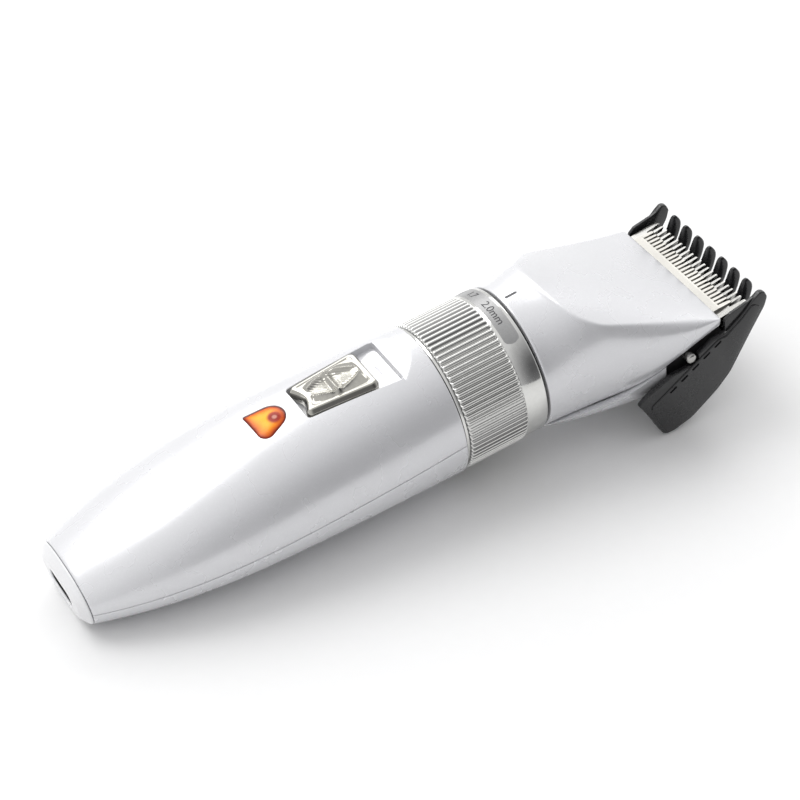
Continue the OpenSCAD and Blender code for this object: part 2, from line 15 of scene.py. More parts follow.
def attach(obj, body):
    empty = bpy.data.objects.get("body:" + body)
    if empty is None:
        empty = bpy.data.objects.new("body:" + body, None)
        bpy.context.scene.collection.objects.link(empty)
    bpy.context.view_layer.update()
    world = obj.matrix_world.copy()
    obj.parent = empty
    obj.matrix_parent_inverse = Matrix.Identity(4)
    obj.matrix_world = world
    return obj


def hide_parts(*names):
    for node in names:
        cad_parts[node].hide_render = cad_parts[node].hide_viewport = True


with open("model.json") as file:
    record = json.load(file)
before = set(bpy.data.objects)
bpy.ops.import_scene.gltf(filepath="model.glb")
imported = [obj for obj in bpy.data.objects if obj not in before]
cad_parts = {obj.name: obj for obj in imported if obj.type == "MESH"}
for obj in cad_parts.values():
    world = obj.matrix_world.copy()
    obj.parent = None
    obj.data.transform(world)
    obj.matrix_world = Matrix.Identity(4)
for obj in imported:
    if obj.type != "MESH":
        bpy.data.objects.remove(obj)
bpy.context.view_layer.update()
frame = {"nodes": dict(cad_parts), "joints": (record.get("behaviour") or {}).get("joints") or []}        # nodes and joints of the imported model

joints = {j["name"]: j for j in frame["joints"]}

# ---- body frame
MM = 0.001
SPIN = joints["motor_spin"]
ALONG = Vector(SPIN["axis"])
LEFT = Vector((0, 1, 0))
UP = ALONG.cross(LEFT)
PLACE = Matrix.Translation(SPIN["pos_m"]) @ Matrix((ALONG, LEFT, UP)).transposed().to_4x4() \
    @ Matrix.Scale(MM, 4)
TO_BODY = PLACE.inverted()


def span(node):
    """Lowest and highest corner of a CAD node in the body frame, in millimetres."""
    points = [TO_BODY @ v.co for v in frame["nodes"][node].data.vertices]
    low = Vector(min(p[i] for p in points) for i in range(3))
    high = Vector(max(p[i] for p in points) for i in range(3))
    return low, high


# ---- small maths
def clamp(v, low=0.0, high=1.0):
    return max(low, min(high, v))


def ease(t):
    t = clamp(t)
    return t * t * (3 - 2 * t)


def mix(a, b, t):
    return a + (b - a) * t


def steps(a, b, count):
    return [mix(a, b, i / count) for i in range(count + 1)]


def end_steps(start, stop, near, count):
    """Stations from start to stop, with closer ones near both ends for the rounded edges."""
    edge = near[-1]
    return [start + d for d in near] + steps(start + edge, stop - edge, count)[1:-1] \
        + [stop - d for d in near[::-1]]


def signed_power(v, exponent):
    """A power that keeps the sign; it makes a section between an ellipse and a rectangle."""
    return math.copysign(abs(v) ** exponent, v)


def soft_min(a, b, blend):
    """The smaller of two heights, with their crossing rounded over."""
    h = clamp(0.5 + 0.5 * (b - a) / blend)
    return mix(b, a, h) - blend * h * (1 - h)


def quarter(radius, distance):
    """How far a quarter round draws in at a distance from the edge."""
    d = clamp(distance, 0, radius)
    return radius - math.sqrt(max(0.0, radius ** 2 - (radius - d) ** 2))


def catmull(points, per_span):
    """A smooth open run through points of any dimension."""
    ends = [[2 * a - b for a, b in zip(points[0], points[1])]]
    ends += [list(p) for p in points]
    ends += [[2 * a - b for a, b in zip(points[-1], points[-2])]]
    run = []
    for k in range(1, len(ends) - 2):
        for i in range(per_span):
            t = i / per_span
            run.append([0.5 * (2 * q + (r - p) * t + (2 * p - 5 * q + 4 * r - s) * t * t
                               + (3 * q - p - 3 * r + s) * t ** 3)
                        for p, q, r, s in zip(*ends[k - 1:k + 3])])
    return run + [list(points[-1])]


# ---- flat outlines
def round_corners(corners, radii, arc=6):
    """A closed outline whose corners are replaced by arcs."""
    out = []
    count = len(corners)
    for i, corner in enumerate(corners):
        p = Vector(corner)
        back = Vector(corners[i - 1]) - p
        on = Vector(corners[(i + 1) % count]) - p
        half = back.angle(on) / 2
        radius = radii[i] if isinstance(radii, list) else radii
        reach = min(radius / math.tan(half), back.length * 0.48, on.length * 0.48)
        radius = reach * math.tan(half)
        if radius < 0.02 or half > math.radians(88):
            out.append((p.x, p.y))
            continue
        start = p + back.normalized() * reach
        end = p + on.normalized() * reach
        centre = p + (back.normalized() + on.normalized()).normalized() * (radius / math.sin(half))
        a = start - centre
        b = end - centre
        turn = a.angle(b)
        for k in range(arc + 1):
            t = k / arc
            q = (a * math.sin((1 - t) * turn) + b * math.sin(t * turn)) / math.sin(turn)
            out.append(tuple(centre + q))
    return out


def hull_of(circles, arc=48):
    """The tight outline round some circles, given as (x, y, radius)."""
    dots = sorted((x + r * math.cos(2 * math.pi * k / arc), y + r * math.sin(2 * math.pi * k / arc))
                  for x, y, r in circles for k in range(arc))

    def half(run):
        kept = []
        for p in run:
            while len(kept) > 1 and ((kept[-1][0] - kept[-2][0]) * (p[1] - kept[-2][1])
                                     <= (kept[-1][1] - kept[-2][1]) * (p[0] - kept[-2][0])):
                kept.pop()
            kept.append(p)
        return kept[:-1]

    return half(dots) + half(dots[::-1])


def resample(outline, count):
    """The same closed outline with evenly spaced points."""
    loop = [Vector(p) for p in outline] + [Vector(outline[0])]
    lengths = [0.0]
    for a, b in zip(loop, loop[1:]):
        lengths.append(lengths[-1] + (b - a).length)
    out, k = [], 0
    for i in range(count):
        want = lengths[-1] * i / count
        while lengths[k + 1] < want:
            k += 1
        t = (want - lengths[k]) / max(1e-9, lengths[k + 1] - lengths[k])
        out.append(tuple(loop[k].lerp(loop[k + 1], t)))
    return out


def area_of(outline):
    return 0.5 * sum(a[0] * b[1] - b[0] * a[1] for a, b in zip(outline, outline[1:] + outline[:1]))


def grown(outline, distance):
    """The outline moved outwards by a distance (inwards if it is negative)."""
    sign = 1 if area_of(outline) > 0 else -1
    out = []
    for i, p in enumerate(outline):
        a = (Vector(p) - Vector(outline[i - 1])).normalized()
        b = (Vector(outline[(i + 1) % len(outline)]) - Vector(p)).normalized()
        n = Vector((a.y + b.y, -a.x - b.x)) * sign
        n = n.normalized() if n.length > 1e-9 else Vector((a.y, -a.x)) * sign
        stretch = 1 / max(0.5, n.dot(Vector((a.y, -a.x)) * sign))
        out.append(tuple(Vector(p) + n * distance * stretch))
    return out


# ---- solids
def loft(rings, ends="flat"):
    """Points and faces of a skin over rings with equal counts. ends is flat, strip for a
    C-shaped section, or closed where the last ring meets the first."""
    m = len(rings[0])
    last = (len(rings) - 1) * m
    faces = [(j * m + i, j * m + (i + 1) % m, (j + 1) * m + (i + 1) % m, (j + 1) * m + i)
             for j in range(len(rings) - 1) for i in range(m)]
    if ends == "flat":
        faces += [tuple(range(m))[::-1], tuple(last + i for i in range(m))]
    if ends == "strip":
        strip = [(i, i + 1, m - 2 - i, m - 1 - i) for i in range(m // 2 - 1)]
        faces += [s[::-1] for s in strip] + [tuple(last + i for i in s) for s in strip]
    if ends == "closed":
        faces += [(last + i, last + (i + 1) % m, (i + 1) % m, i) for i in range(m)]
    return [tuple(p) for r in rings for p in r], faces


def placed(name, data):
    """A new object for some data, linked to the scene."""
    made = bpy.data.objects.new(name, data)
    bpy.context.scene.collection.objects.link(made)
    return made


def mesh_from(work, name):
    """A mesh out of a bmesh, which is freed."""
    mesh = bpy.data.meshes.new(name)
    work.to_mesh(mesh)
    work.free()
    return mesh


def solid(name, points, faces):
    """A mesh object in body millimetres, with its faces turned outwards."""
    mesh = bpy.data.meshes.new(name)
    mesh.from_pydata(points, [], faces)
    work = bmesh.new()
    work.from_mesh(mesh)
    bmesh.ops.recalc_face_normals(work, faces=work.faces)
    work.to_mesh(mesh)
    work.free()
    return placed(name, mesh)


def carve(body, tool):
    """Cuts the tool out of the body and removes the tool."""
    change = body.modifiers.new("carve", "BOOLEAN")
    change.operation, change.solver, change.object = "DIFFERENCE", "EXACT", tool
    bpy.context.view_layer.update()
    shaped = body.evaluated_get(bpy.context.evaluated_depsgraph_get())
    mesh = bpy.data.meshes.new_from_object(shaped)
    body.modifiers.clear()
    body.data = mesh
    bpy.data.objects.remove(tool)


def joined(name, parts):
    """One mesh object out of several solids."""
    work = bmesh.new()
    for part in parts:
        work.from_mesh(part.data)
        bpy.data.objects.remove(part)
    return placed(name, mesh_from(work, name))


def settle(made, body, finish, nodes=(), sharp=32):
    """Puts a finished solid in the row frame and hands it to its CAD body."""
    made.data.transform(PLACE)
    made.data.materials.clear()
    made.data.materials.append(finish)
    made.data.shade_smooth()
    made.data.set_sharp_from_angle(angle=math.radians(sharp))
    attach(made, body)
    if nodes:
        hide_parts(*nodes)
    return made


def slab(name, outline, y0, y1, edge=0.25, rounds=3):
    """An outline in x and z between two values of y, with rounded edges."""
    if area_of(outline) < 0:
        outline = outline[::-1]
    turns = [math.pi / 2 * k / rounds for k in range(rounds + 1)]
    levels = [(edge * (1 - math.sin(t)), y0 + edge * (1 - math.cos(t))) for t in turns]
    levels += [(inset, y0 + y1 - y) for inset, y in reversed(levels)]
    rings = [[(p[0], y, p[1]) for p in grown(outline, -inset)] for inset, y in levels]
    return solid(name, *loft(rings))


def circle(x, r, count):
    """Points of a circle about the motor's axis."""
    return [(x, r * math.cos(2 * math.pi * k / count), r * math.sin(2 * math.pi * k / count))
            for k in range(count)]


def lathe(name, profile, origin, axis, around=64):
    """A profile of (along, radius) turned about an axis; it starts and ends at a small radius."""
    axis = Vector(axis).normalized()
    side = axis.orthogonal().normalized()
    other = axis.cross(side)
    rings = [[Vector(origin) + axis * along + (side * math.cos(2 * math.pi * k / around)
                                               + other * math.sin(2 * math.pi * k / around)) * r
              for k in range(around)] for along, r in profile]
    return solid(name, *loft(rings))


def cushion(name, outline, levels, top, rings=24):
    """A button on a flat outline: sides through levels of (inset, z or height function), then a
    top surface top(x, y, t), where t runs from 1 at the rim to 0 at the middle."""
    def height(z, p):
        return z(p[0], p[1]) if callable(z) else z

    stack = []
    for inset, z in levels:
        stack.append([(p[0], p[1], height(z, p)) for p in grown(outline, -inset)])
    rim = grown(outline, -levels[-1][0])
    cx = sum(p[0] for p in rim) / len(rim)
    cy = sum(p[1] for p in rim) / len(rim)
    for k in range(1, rings + 1):
        t = max(1 - k / rings, 0.004)
        flat = [(mix(cx, p[0], t), mix(cy, p[1], t)) for p in rim]
        stack.append([(x, y, top(x, y, t)) for x, y in flat])
    return solid(name, *loft(stack))


# ---- materials
def material(name):
    """A new material with one principled shader."""
    made = bpy.data.materials.new(name)
    made.use_nodes = True
    nodes, links = made.node_tree.nodes, made.node_tree.links
    nodes.clear()
    out = nodes.new("ShaderNodeOutputMaterial")
    shader = nodes.new("ShaderNodeBsdfPrincipled")
    links.new(shader.outputs["BSDF"], out.inputs["Surface"])
    return made, nodes, links, shader


def noise(nodes, links, scale, detail=3.0, stretch=(1, 1, 1), turn=(0, 0, 0)):
    """Noise in the object's own space; scale is in cells per metre."""
    place = nodes.new("ShaderNodeTexCoord")
    mapping = nodes.new("ShaderNodeMapping")
    mapping.inputs["Scale"].default_value = stretch
    mapping.inputs["Rotation"].default_value = turn
    texture = nodes.new("ShaderNodeTexNoise")
    texture.inputs["Scale"].default_value = scale
    texture.inputs["Detail"].default_value = detail
    links.new(place.outputs["Object"], mapping.inputs["Vector"])
    links.new(mapping.outputs["Vector"], texture.inputs["Vector"])
    return texture.outputs["Fac"]


def ramp(nodes, links, source, stops):
    """A colour ramp over a value; stops are (position, colour)."""
    made = nodes.new("ShaderNodeValToRGB")
    scale = made.color_ramp
    while len(scale.elements) < len(stops):
        scale.elements.new(0.5)
    for element, (at, colour) in zip(scale.elements, stops):
        element.position = at
        element.color = (*colour, 1)
    links.new(source, made.inputs["Fac"])
    return made.outputs["Color"]


def ranged(nodes, links, source, low, high, start=0.3, end=0.7):
    """A value mapped from start and end to low and high, and clamped."""
    made = nodes.new("ShaderNodeMapRange")
    made.inputs["From Min"].default_value = start
    made.inputs["From Max"].default_value = end
    made.inputs["To Min"].default_value = low
    made.inputs["To Max"].default_value = high
    links.new(source, made.inputs["Value"])
    return made.outputs["Result"]


def add_bump(nodes, links, shader, height, distance, strength=1.0):
    """Bump on a shader; distance is in millimetres."""
    bump = nodes.new("ShaderNodeBump")
    bump.inputs["Strength"].default_value = strength
    bump.inputs["Distance"].default_value = distance * MM
    links.new(height, bump.inputs["Height"])
    links.new(bump.outputs["Normal"], shader.inputs["Normal"])


def shade(colour, factor):
    return tuple(min(1.0, c * factor) for c in colour)


def finish(name, colour, metallic=0.0, rough=0.4, grain=2500, grain_bump=0.004, tint=0.05,
           rough_spread=0.06, stretch=(1, 1, 1), turn=(0, 0, 0), smudge=60, sockets=None):
    """A plain moulded, painted, drawn or plated finish: fine grain in colour and bump, and
    larger smudges that change the gloss. grain is in cells per metre, bump in millimetres."""
    made, nodes, links, shader = material(name)
    fine = noise(nodes, links, grain, 4.0, stretch, turn)
    large = noise(nodes, links, smudge, 3.0)
    tones = [(0.3, shade(colour, 1 - tint)), (0.7, shade(colour, 1 + tint))]
    links.new(ramp(nodes, links, fine, tones), shader.inputs["Base Color"])
    blend = nodes.new("ShaderNodeMath")
    blend.operation = "ADD"
    links.new(ranged(nodes, links, large, rough - rough_spread, rough + rough_spread),
              blend.inputs[0])
    links.new(ranged(nodes, links, fine, -rough_spread / 2, rough_spread / 2), blend.inputs[1])
    links.new(blend.outputs["Value"], shader.inputs["Roughness"])
    add_bump(nodes, links, shader, fine, grain_bump)
    shader.inputs["Metallic"].default_value = metallic
    for socket, value in (sockets or {}).items():
        shader.inputs[socket].default_value = value
    return made


def pearl(name, colour, metallic, rough):
    """Silver paint: tiny flakes that differ in brightness under a faintly rippled clear coat."""
    made, nodes, links, shader = material(name)
    place = nodes.new("ShaderNodeTexCoord")
    flakes = nodes.new("ShaderNodeTexVoronoi")
    flakes.inputs["Scale"].default_value = 3500
    links.new(place.outputs["Object"], flakes.inputs["Vector"])
    spark = nodes.new("ShaderNodeSeparateColor")
    links.new(flakes.outputs["Color"], spark.inputs["Color"])
    tones = [(0.0, shade(colour, 0.985)), (0.8, colour), (1.0, shade(colour, 1.03))]
    links.new(ramp(nodes, links, spark.outputs["Red"], tones), shader.inputs["Base Color"])
    haze = noise(nodes, links, 90, 3.0)
    links.new(ranged(nodes, links, haze, rough - 0.03, rough + 0.04), shader.inputs["Roughness"])
    add_bump(nodes, links, shader, noise(nodes, links, 700, 2.0), 0.003, 0.35)
    shader.inputs["Metallic"].default_value = metallic
    shader.inputs["Coat Weight"].default_value = 0.6
    shader.inputs["Coat Roughness"].default_value = 0.12
    return made


AXIS_TILT = (0, math.atan2(ALONG.z, ALONG.x), 0)
PAINT = pearl("silver_paint", (0.72, 0.722, 0.742), 0.36, 0.26)
CAP = finish("cap_plastic", (0.74, 0.74, 0.75), 0.1, 0.34, 1800, 0.003, 0.03,
             sockets={"Coat Weight": 0.3, "Coat Roughness": 0.15})
CHROME = finish("chrome", (0.7, 0.7, 0.68), 1.0, 0.09, 900, 0.0015, 0.03, 0.03, smudge=150)
KNOB = finish("knob_chrome", (0.43, 0.42, 0.385), 1.0, 0.1, 1200, 0.002, 0.05, 0.04, smudge=260)
LABEL = finish("label_grey", (0.36, 0.36, 0.36), 0.7, 0.35, 2600, 0.003, 0.06)
INK = finish("dark_ink", (0.06, 0.06, 0.065), 0.0, 0.4, 4000, 0.002, 0.2)
FAINT = finish("faint_mark", (0.6, 0.6, 0.63), 0.2, 0.4, 4000, 0.002, 0.05)
STEEL = finish("ground_steel", (0.43, 0.425, 0.41), 1.0, 0.24, 1500, 0.003, 0.07, 0.07,
               stretch=(1, 12, 1))
CUTTER = finish("cutter_steel", (0.4, 0.39, 0.365), 1.0, 0.3, 1500, 0.003, 0.08, 0.06,
                stretch=(14, 1, 1), turn=AXIS_TILT)
BLACK = finish("comb_plastic", (0.012, 0.012, 0.013), 0.0, 0.27, 1400, 0.006, 0.25, 0.08,
               sockets={"Specular IOR Level": 0.55})
HOLDER = finish("holder_plastic", (0.016, 0.016, 0.017), 0.0, 0.36, 1500, 0.008, 0.25)


# ---- handle section
TAIL_LOW, TAIL_HIGH = span("tail_cap")
HANDLE = -TAIL_LOW.x                           # length
END_R = 20.0                                   # radius beside the ring
BELLY = span("bottom_shell")[1].y              # greatest half width
TAIL_W, TAIL_TOP, TAIL_DROP = 12.35, 6.0, 7.2  # half width, height and depth at the tail
WIDEST = -45.0                                 # where the handle is widest
WALL = 1.8
CHAMFER = 2.0                                  # round the tail face
SEAM = 0.06                                    # half the gap between the shells
LIP = 0.22                                     # rounding of the shells' parting edges
CAP_X, RING_GAP = (corner.x for corner in span("top_shell"))


def half_width(x):
    if x > WIDEST:
        return BELLY - (BELLY - END_R) * ((x - WIDEST) / WIDEST) ** 2
    return BELLY - (BELLY - TAIL_W) * ((WIDEST - x) / (WIDEST + HANDLE)) ** 2.5


def half_height(x, side):
    """Height above the parting line, or depth below it."""
    t = max(0.0, -x / HANDLE)
    if side > 0:
        return END_R - (END_R - TAIL_TOP) * t ** 3
    return END_R - (END_R - TAIL_DROP) * t ** 0.9


def power(x):
    """How square the section is: 2 is an ellipse."""
    return 2 + 0.4 * max(0.0, -x / HANDLE)


SCOOP_BACK, SCOOP_FRONT, SCOOP_SLOPE = -8.4, -3.4, 0.335    # from the recess up to the ring


def crown(x, y, off=0.0):
    """Height of the handle's upper surface."""
    w, h, n = half_width(x) - off, half_height(x, 1) - off, power(x)
    z = h * max(0.0, 1 - abs(y / w) ** n) ** (1 / n)
    if x > SCOOP_BACK:
        z = soft_min(z, half_height(x, 1) - SCOOP_SLOPE * (SCOOP_FRONT - x), 0.25)
    return z


def half_section(x, side, off=0.0, outer=True, count=110):
    """Half a section of the handle, from the left parting edge over to the right one."""
    w, h, n = half_width(x) - off, half_height(x, side) - off, power(x)
    low = [math.asin((z / h) ** (n / 2)) for z in (SEAM, SEAM + 0.03, 0.13, 0.2, SEAM + LIP)]
    angles = low + steps(low[-1], math.pi - low[-1], count)[1:-1] + [math.pi - a for a in low[::-1]]
    run = []
    for a in angles:
        c, s = math.cos(a), math.sin(a)
        y = w * signed_power(c, 2 / n)
        z = h * s ** (2 / n)
        if outer:
            y -= math.copysign(quarter(LIP, z - SEAM), y)
            if side > 0 and x > SCOOP_BACK:
                z = min(z, crown(x, y, off))
        run.append((x, y, side * z))
    return run


RECESS_BACK, RECESS_FRONT, RECESS_FLOOR = -33.6, -8.4, 16.6
RECESS_HALF_BACK, RECESS_HALF_FRONT = 5.9, 7.9
FLOOR_UNDER = RECESS_FLOOR - 1.4


def shell_rings(side):
    """Sections of a handle shell, upper (1) or lower (-1), outside and then back inside."""
    edge = 0.4
    near = (0, 0.03, 0.1, 0.2, 0.3, edge)
    stations = [CAP_X + d for d in near] + steps(CAP_X + edge, -10, 150)[1:] \
        + [SCOOP_BACK - 0.01, SCOOP_BACK + 0.01] + steps(SCOOP_BACK + 0.2, RING_GAP - edge, 44) \
        + [RING_GAP - d for d in near[-2::-1]]
    rings = []
    for x in stations:
        inset = max(quarter(edge, x - CAP_X), quarter(edge, RING_GAP - x))
        outside = half_section(x, side, inset)
        inside = half_section(x, side, WALL, outer=False)
        if side > 0 and RECESS_BACK - 1.3 < x < RECESS_FRONT + 1.2:
            inside = [(p[0], p[1], min(p[2], FLOOR_UNDER)) for p in inside]
        rings.append(outside + inside[::-1])
    return rings


def pocket(name, outline, floor, lip):
    """A cutter for a pocket whose upper lip is rounded along the shell's surface."""
    rings = []
    for inset, z in ((-0.25, floor), (-0.07, floor + 0.07), (0, floor + 0.25)):
        rings.append([(*p, z) for p in grown(outline, inset)])
    for k in range(6):
        turn = math.radians(14 * k)
        out = lip * (1 - math.cos(turn))
        rings.append([(*p, crown(*p) - lip * (1 - math.sin(turn))) for p in grown(outline, out)])
    rings.append([(*p, crown(*p) + 0.5) for p in grown(outline, lip * 1.3)])
    rings.append([(*p, END_R + 3) for p in grown(outline, lip * 1.3)])
    return solid(name, *loft(rings))


def recess_outline():
    corners = [(RECESS_BACK, RECESS_HALF_BACK), (RECESS_FRONT, RECESS_HALF_FRONT),
               (RECESS_FRONT, -RECESS_HALF_FRONT), (RECESS_BACK, -RECESS_HALF_BACK)]
    return resample(round_corners(corners, 1.1, 8), 200)


LENS_X = sum(c.x for c in span("led_lens")) / 2
# Circles (x, y, radius) whose hull is the window, and the lamp seen through it
DROP = [(LENS_X + 0.3, -0.1, 4.0), (LENS_X - 4.3, 4.0, 0.5), (LENS_X - 2.3, -3.2, 2.2)]
LAMP = (LENS_X + 1.3, -0.9, span("led_lens")[1].z)


def drop_outline(gap):
    return grown(resample(hull_of(DROP), 120), -gap)


def make_top_shell():
    made = solid("top_shell_skin", *loft(shell_rings(1), "strip"))
    carve(made, pocket("recess_cutter", recess_outline(), RECESS_FLOOR, 0.3))
    carve(made, pocket("window_cutter", drop_outline(0), 12, 0.22))
    return settle(made, "handle", PAINT, ["top_shell"])


def make_bottom_shell():
    made = solid("bottom_shell_skin", *loft(shell_rings(-1), "strip"))
    low, high = span("shell_screw")
    middle = (low + high) / 2
    head_r, thread_r, seat = 2.5, 1.3, low.z + 0.8
    bore = [(-24, head_r + 0.1), (low.z - 0.1, head_r), (seat, head_r), (seat, thread_r),
            (0, thread_r)]
    carve(made, lathe("screw_well", bore, (middle.x, 0, 0), (0, 0, 1)))
    return settle(made, "handle", PAINT, ["bottom_shell"])


# ---- tail cap
INLET_LOW, INLET_HIGH = span("charge_inlet")
INLET_Z = (INLET_LOW.z + INLET_HIGH.z) / 2
INLET_W = INLET_HIGH.y - INLET_LOW.y
INLET_H = INLET_HIGH.z - INLET_LOW.z
MOUTH_W, MOUTH_H = 12.0, 4.2    # opening of the cap, smaller than the socket behind it


def stadium(angle, w, h):
    """The point of a slot outline in one direction from its middle."""
    span_half, r = (w - h) / 2, h / 2
    c, s = abs(math.cos(angle)), abs(math.sin(angle))
    if s * span_half > c * r:
        reach = r / s
    else:
        reach = span_half * c + math.sqrt(max(0.0, r * r - (span_half * s) ** 2))
    return reach * math.cos(angle), reach * math.sin(angle)


def full_section(x, off, count=180):
    """A whole section of the handle, drawn in by off."""
    run = []
    for k in range(count):
        a = 2 * math.pi * k / count
        side = 1 if a < math.pi else -1
        w, h, n = half_width(x) - off, half_height(x, side) - off, power(x)
        run.append((x, w * signed_power(math.cos(a), 2 / n), h * signed_power(math.sin(a), 2 / n)))
    return run


def make_tail_cap():
    tail, rest, front = -HANDLE, -HANDLE + CHAMFER, TAIL_HIGH.x
    outside = [(front, 0.35), (front - 0.06, 0.15), (front - 0.16, 0.04), (rest, 0.0),
               (rest - 0.12, 0.04), (rest - 0.28, 0.16), (rest - 0.5, 0.36),
               (tail + 0.5, 1.45), (tail + 0.28, 1.7), (tail + 0.12, 1.92), (tail + 0.03, 2.1),
               (tail, 2.3)]
    rings = [full_section(x, off) for x, off in outside]
    mouth = [(tail, MOUTH_W + 0.8, MOUTH_H + 0.8), (tail + 0.03, MOUTH_W + 0.4, MOUTH_H + 0.4),
             (tail + 0.12, MOUTH_W + 0.1, MOUTH_H + 0.1), (tail + 0.2, MOUTH_W, MOUTH_H),
             (tail + 0.36, MOUTH_W, MOUTH_H), (tail + 0.37, INLET_W + 0.2, INLET_H + 0.2),
             (front, INLET_W + 0.2, INLET_H + 0.2)]
    angles = [math.atan2(p[2] - INLET_Z, p[1]) for p in full_section(tail, 2.3)]
    for x, w, h in mouth:
        rings.append([(x, y, z + INLET_Z) for y, z in (stadium(a, w, h) for a in angles)])
    made = solid("tail_end_cap", *loft(rings, "closed"))
    return settle(made, "handle", CAP, ["tail_cap"])


# ---- lamp window
def distance_cm(nodes, links, spot):
    """Distance from a point of the body frame, in centimetres up to one, all over a piece."""
    place = nodes.new("ShaderNodeTexCoord")
    gap = nodes.new("ShaderNodeVectorMath")
    gap.operation = "DISTANCE"
    gap.inputs[1].default_value = PLACE @ Vector(spot)
    links.new(place.outputs["Object"], gap.inputs[0])
    return ranged(nodes, links, gap.outputs["Value"], 0, 1, 0, 10 * MM)


def amber():
    """Amber plastic over a lamp, with painted light and shade: dark orange painted shade at the rim,
    yellow painted light where it is lit from below, and the round red lamp showing through with a painted
    highlight ring on it."""
    made, nodes, links, shader = material("amber_window")
    rim = nodes.new("ShaderNodeAttribute")
    rim.attribute_name = "rim"
    cloud = noise(nodes, links, 450, 2.0)
    total = nodes.new("ShaderNodeMath")
    total.operation = "MULTIPLY_ADD"
    total.inputs[1].default_value = 0.3
    links.new(cloud, total.inputs[0])
    links.new(rim.outputs["Fac"], total.inputs[2])
    # Painted light and shade: yellow in the middle where light comes up through the amber, darker orange
    # towards the rim as painted shade.
    body = ramp(nodes, links, total.outputs["Value"],
                [(0.14, (1.0, 0.5, 0.015)), (0.5, (0.93, 0.27, 0.006)), (0.8, (0.6, 0.09, 0.003)),
                 (1.0, (0.22, 0.016, 0.002))])
    lamp = distance_cm(nodes, links, LAMP)
    # The red lamp painted on the amber, with a painted highlight: the light pink ring near its middle.
    spot = ramp(nodes, links, lamp, [(0.0, (0.55, 0.16, 0.1)), (0.04, (0.62, 0.3, 0.24)),
                                     (0.08, (0.3, 0.02, 0.01)), (0.17, (0.42, 0.03, 0.006))])
    cover = nodes.new("ShaderNodeMix")
    cover.data_type = "RGBA"
    links.new(ranged(nodes, links, lamp, 1.0, 0.0, 0.14, 0.22), cover.inputs["Factor"])
    links.new(body, cover.inputs["A"])
    links.new(spot, cover.inputs["B"])
    links.new(cover.outputs["Result"], shader.inputs["Base Color"])
    links.new(ranged(nodes, links, cloud, 0.22, 0.32), shader.inputs["Roughness"])
    add_bump(nodes, links, shader, cloud, 0.01)
    shader.inputs["Specular IOR Level"].default_value = 0.25
    shader.inputs["Coat Weight"].default_value = 0.12
    shader.inputs["Coat Roughness"].default_value = 0.05
    return made


def make_lens():
    outline = drop_outline(0.12)
    rows = 18

    def dome(x, y, t):
        return crown(x, y) - 0.1 + 0.42 * (1 - t ** 2.6)

    levels = [(0.5, lambda x, y: crown(x, y) - 2.2), (0.0, lambda x, y: crown(x, y) - 2.1),
              (0.0, lambda x, y: crown(x, y) - 0.3), (0.05, lambda x, y: crown(x, y) - 0.18),
              (0.15, lambda x, y: crown(x, y) - 0.12)]
    made = cushion("lamp_window", outline, levels, dome, rows)
    # rim: 1 on the sides, falling to 0 in the middle of the top; it sets the painted shade towards the
    # window's rim.
    values = []
    sides = len(levels)
    for i in range(len(made.data.vertices)):
        row = i // len(outline)
        nearness = 1.0 if row < sides else 1 - (row - sides + 1) / rows
        values.append(nearness ** 2.2 * 0.85)
    rim = made.data.attributes.new("rim", "FLOAT", "POINT")
    rim.data.foreach_set("value", values)
    return settle(made, "handle", amber(), ["led_lens"], sharp=60)


# ---- switch knob
KNOB_LOW, KNOB_HIGH = span("switch_knob")
KNOB_TOP = KNOB_HIGH.z + 0.6
KNOB_HALF_BACK, KNOB_HALF_FRONT = 5.4, 7.1


def knob_outline():
    """A wedge in plan, with a scallop in its rear edge."""
    back, front = KNOB_LOW.x, KNOB_HIGH.x
    corners = [(back, KNOB_HALF_BACK), (front, KNOB_HALF_FRONT),
               (front, -KNOB_HALF_FRONT), (back, -KNOB_HALF_BACK)]
    scallop = 1.5
    out = []
    for x, y in resample(round_corners(corners, [1.6, 2.0, 2.0, 1.6], 10), 260):
        near = clamp((back + 3 - x) / 3)
        dip = scallop * max(0.0, math.cos(clamp(abs(y) / 4.6) * math.pi / 2)) ** 1.5
        out.append((x + dip * near, y))
    return out


def knob_top(x, y, t):
    """Sculpted top: a rim, hollow flanks and an almond pad split by a groove at mid length."""
    back, front = KNOB_LOW.x, KNOB_HIGH.x
    u = (x - (back + front) / 2) / ((front - back) / 2)
    half = mix(KNOB_HALF_BACK, KNOB_HALF_FRONT, (u + 1) / 2)
    v = abs(y) / half
    almond = 0.6 * max(0.0, 1 - (abs(u) / 0.86) ** 1.8)
    base = KNOB_TOP - 0.06
    rim = base + 0.06 * ease((t - 0.84) / 0.08)
    ridge = base + 0.85
    outside = clamp((v - almond) / max(0.12, 0.9 - almond))
    flank = mix(ridge, base - 0.1, outside ** 0.55) - 0.12 * math.sin(math.pi * outside)
    if v >= almond:
        z = flank
    else:
        depth = (1 - v / max(almond, 1e-6)) ** 0.8
        z = ridge - 0.75 * ease(depth * 1.5) * ease((0.86 - abs(u)) * 3.2)
        z += 0.05 * math.sin((y + x * 0.5) * 8.5) * ease(depth * 2)
    bar = math.exp(-(u / 0.055) ** 2)
    groove = math.exp(-((abs(u) - 0.13) / 0.05) ** 2) * ease((0.8 - v) * 4)
    z = z + 0.5 * bar * ease((almond + 0.12 - v) * 6) - 0.25 * groove
    return mix(z, rim, ease((t - 0.8) / 0.1))


def make_knob():
    outline = knob_outline()
    floor, top = RECESS_FLOOR + 0.2, KNOB_TOP
    levels = [(0.3, floor), (0.0, floor + 0.15), (0.0, top - 1.25), (0.04, top - 1.1),
              (0.42, top - 0.5), (0.5, top - 0.38), (0.6, top - 0.2), (0.72, top - 0.08),
              (0.9, top - 0.01)]
    made = cushion("switch_cap", outline, levels, knob_top, 54)
    return settle(made, "switch", KNOB, ["switch_knob"], sharp=50)


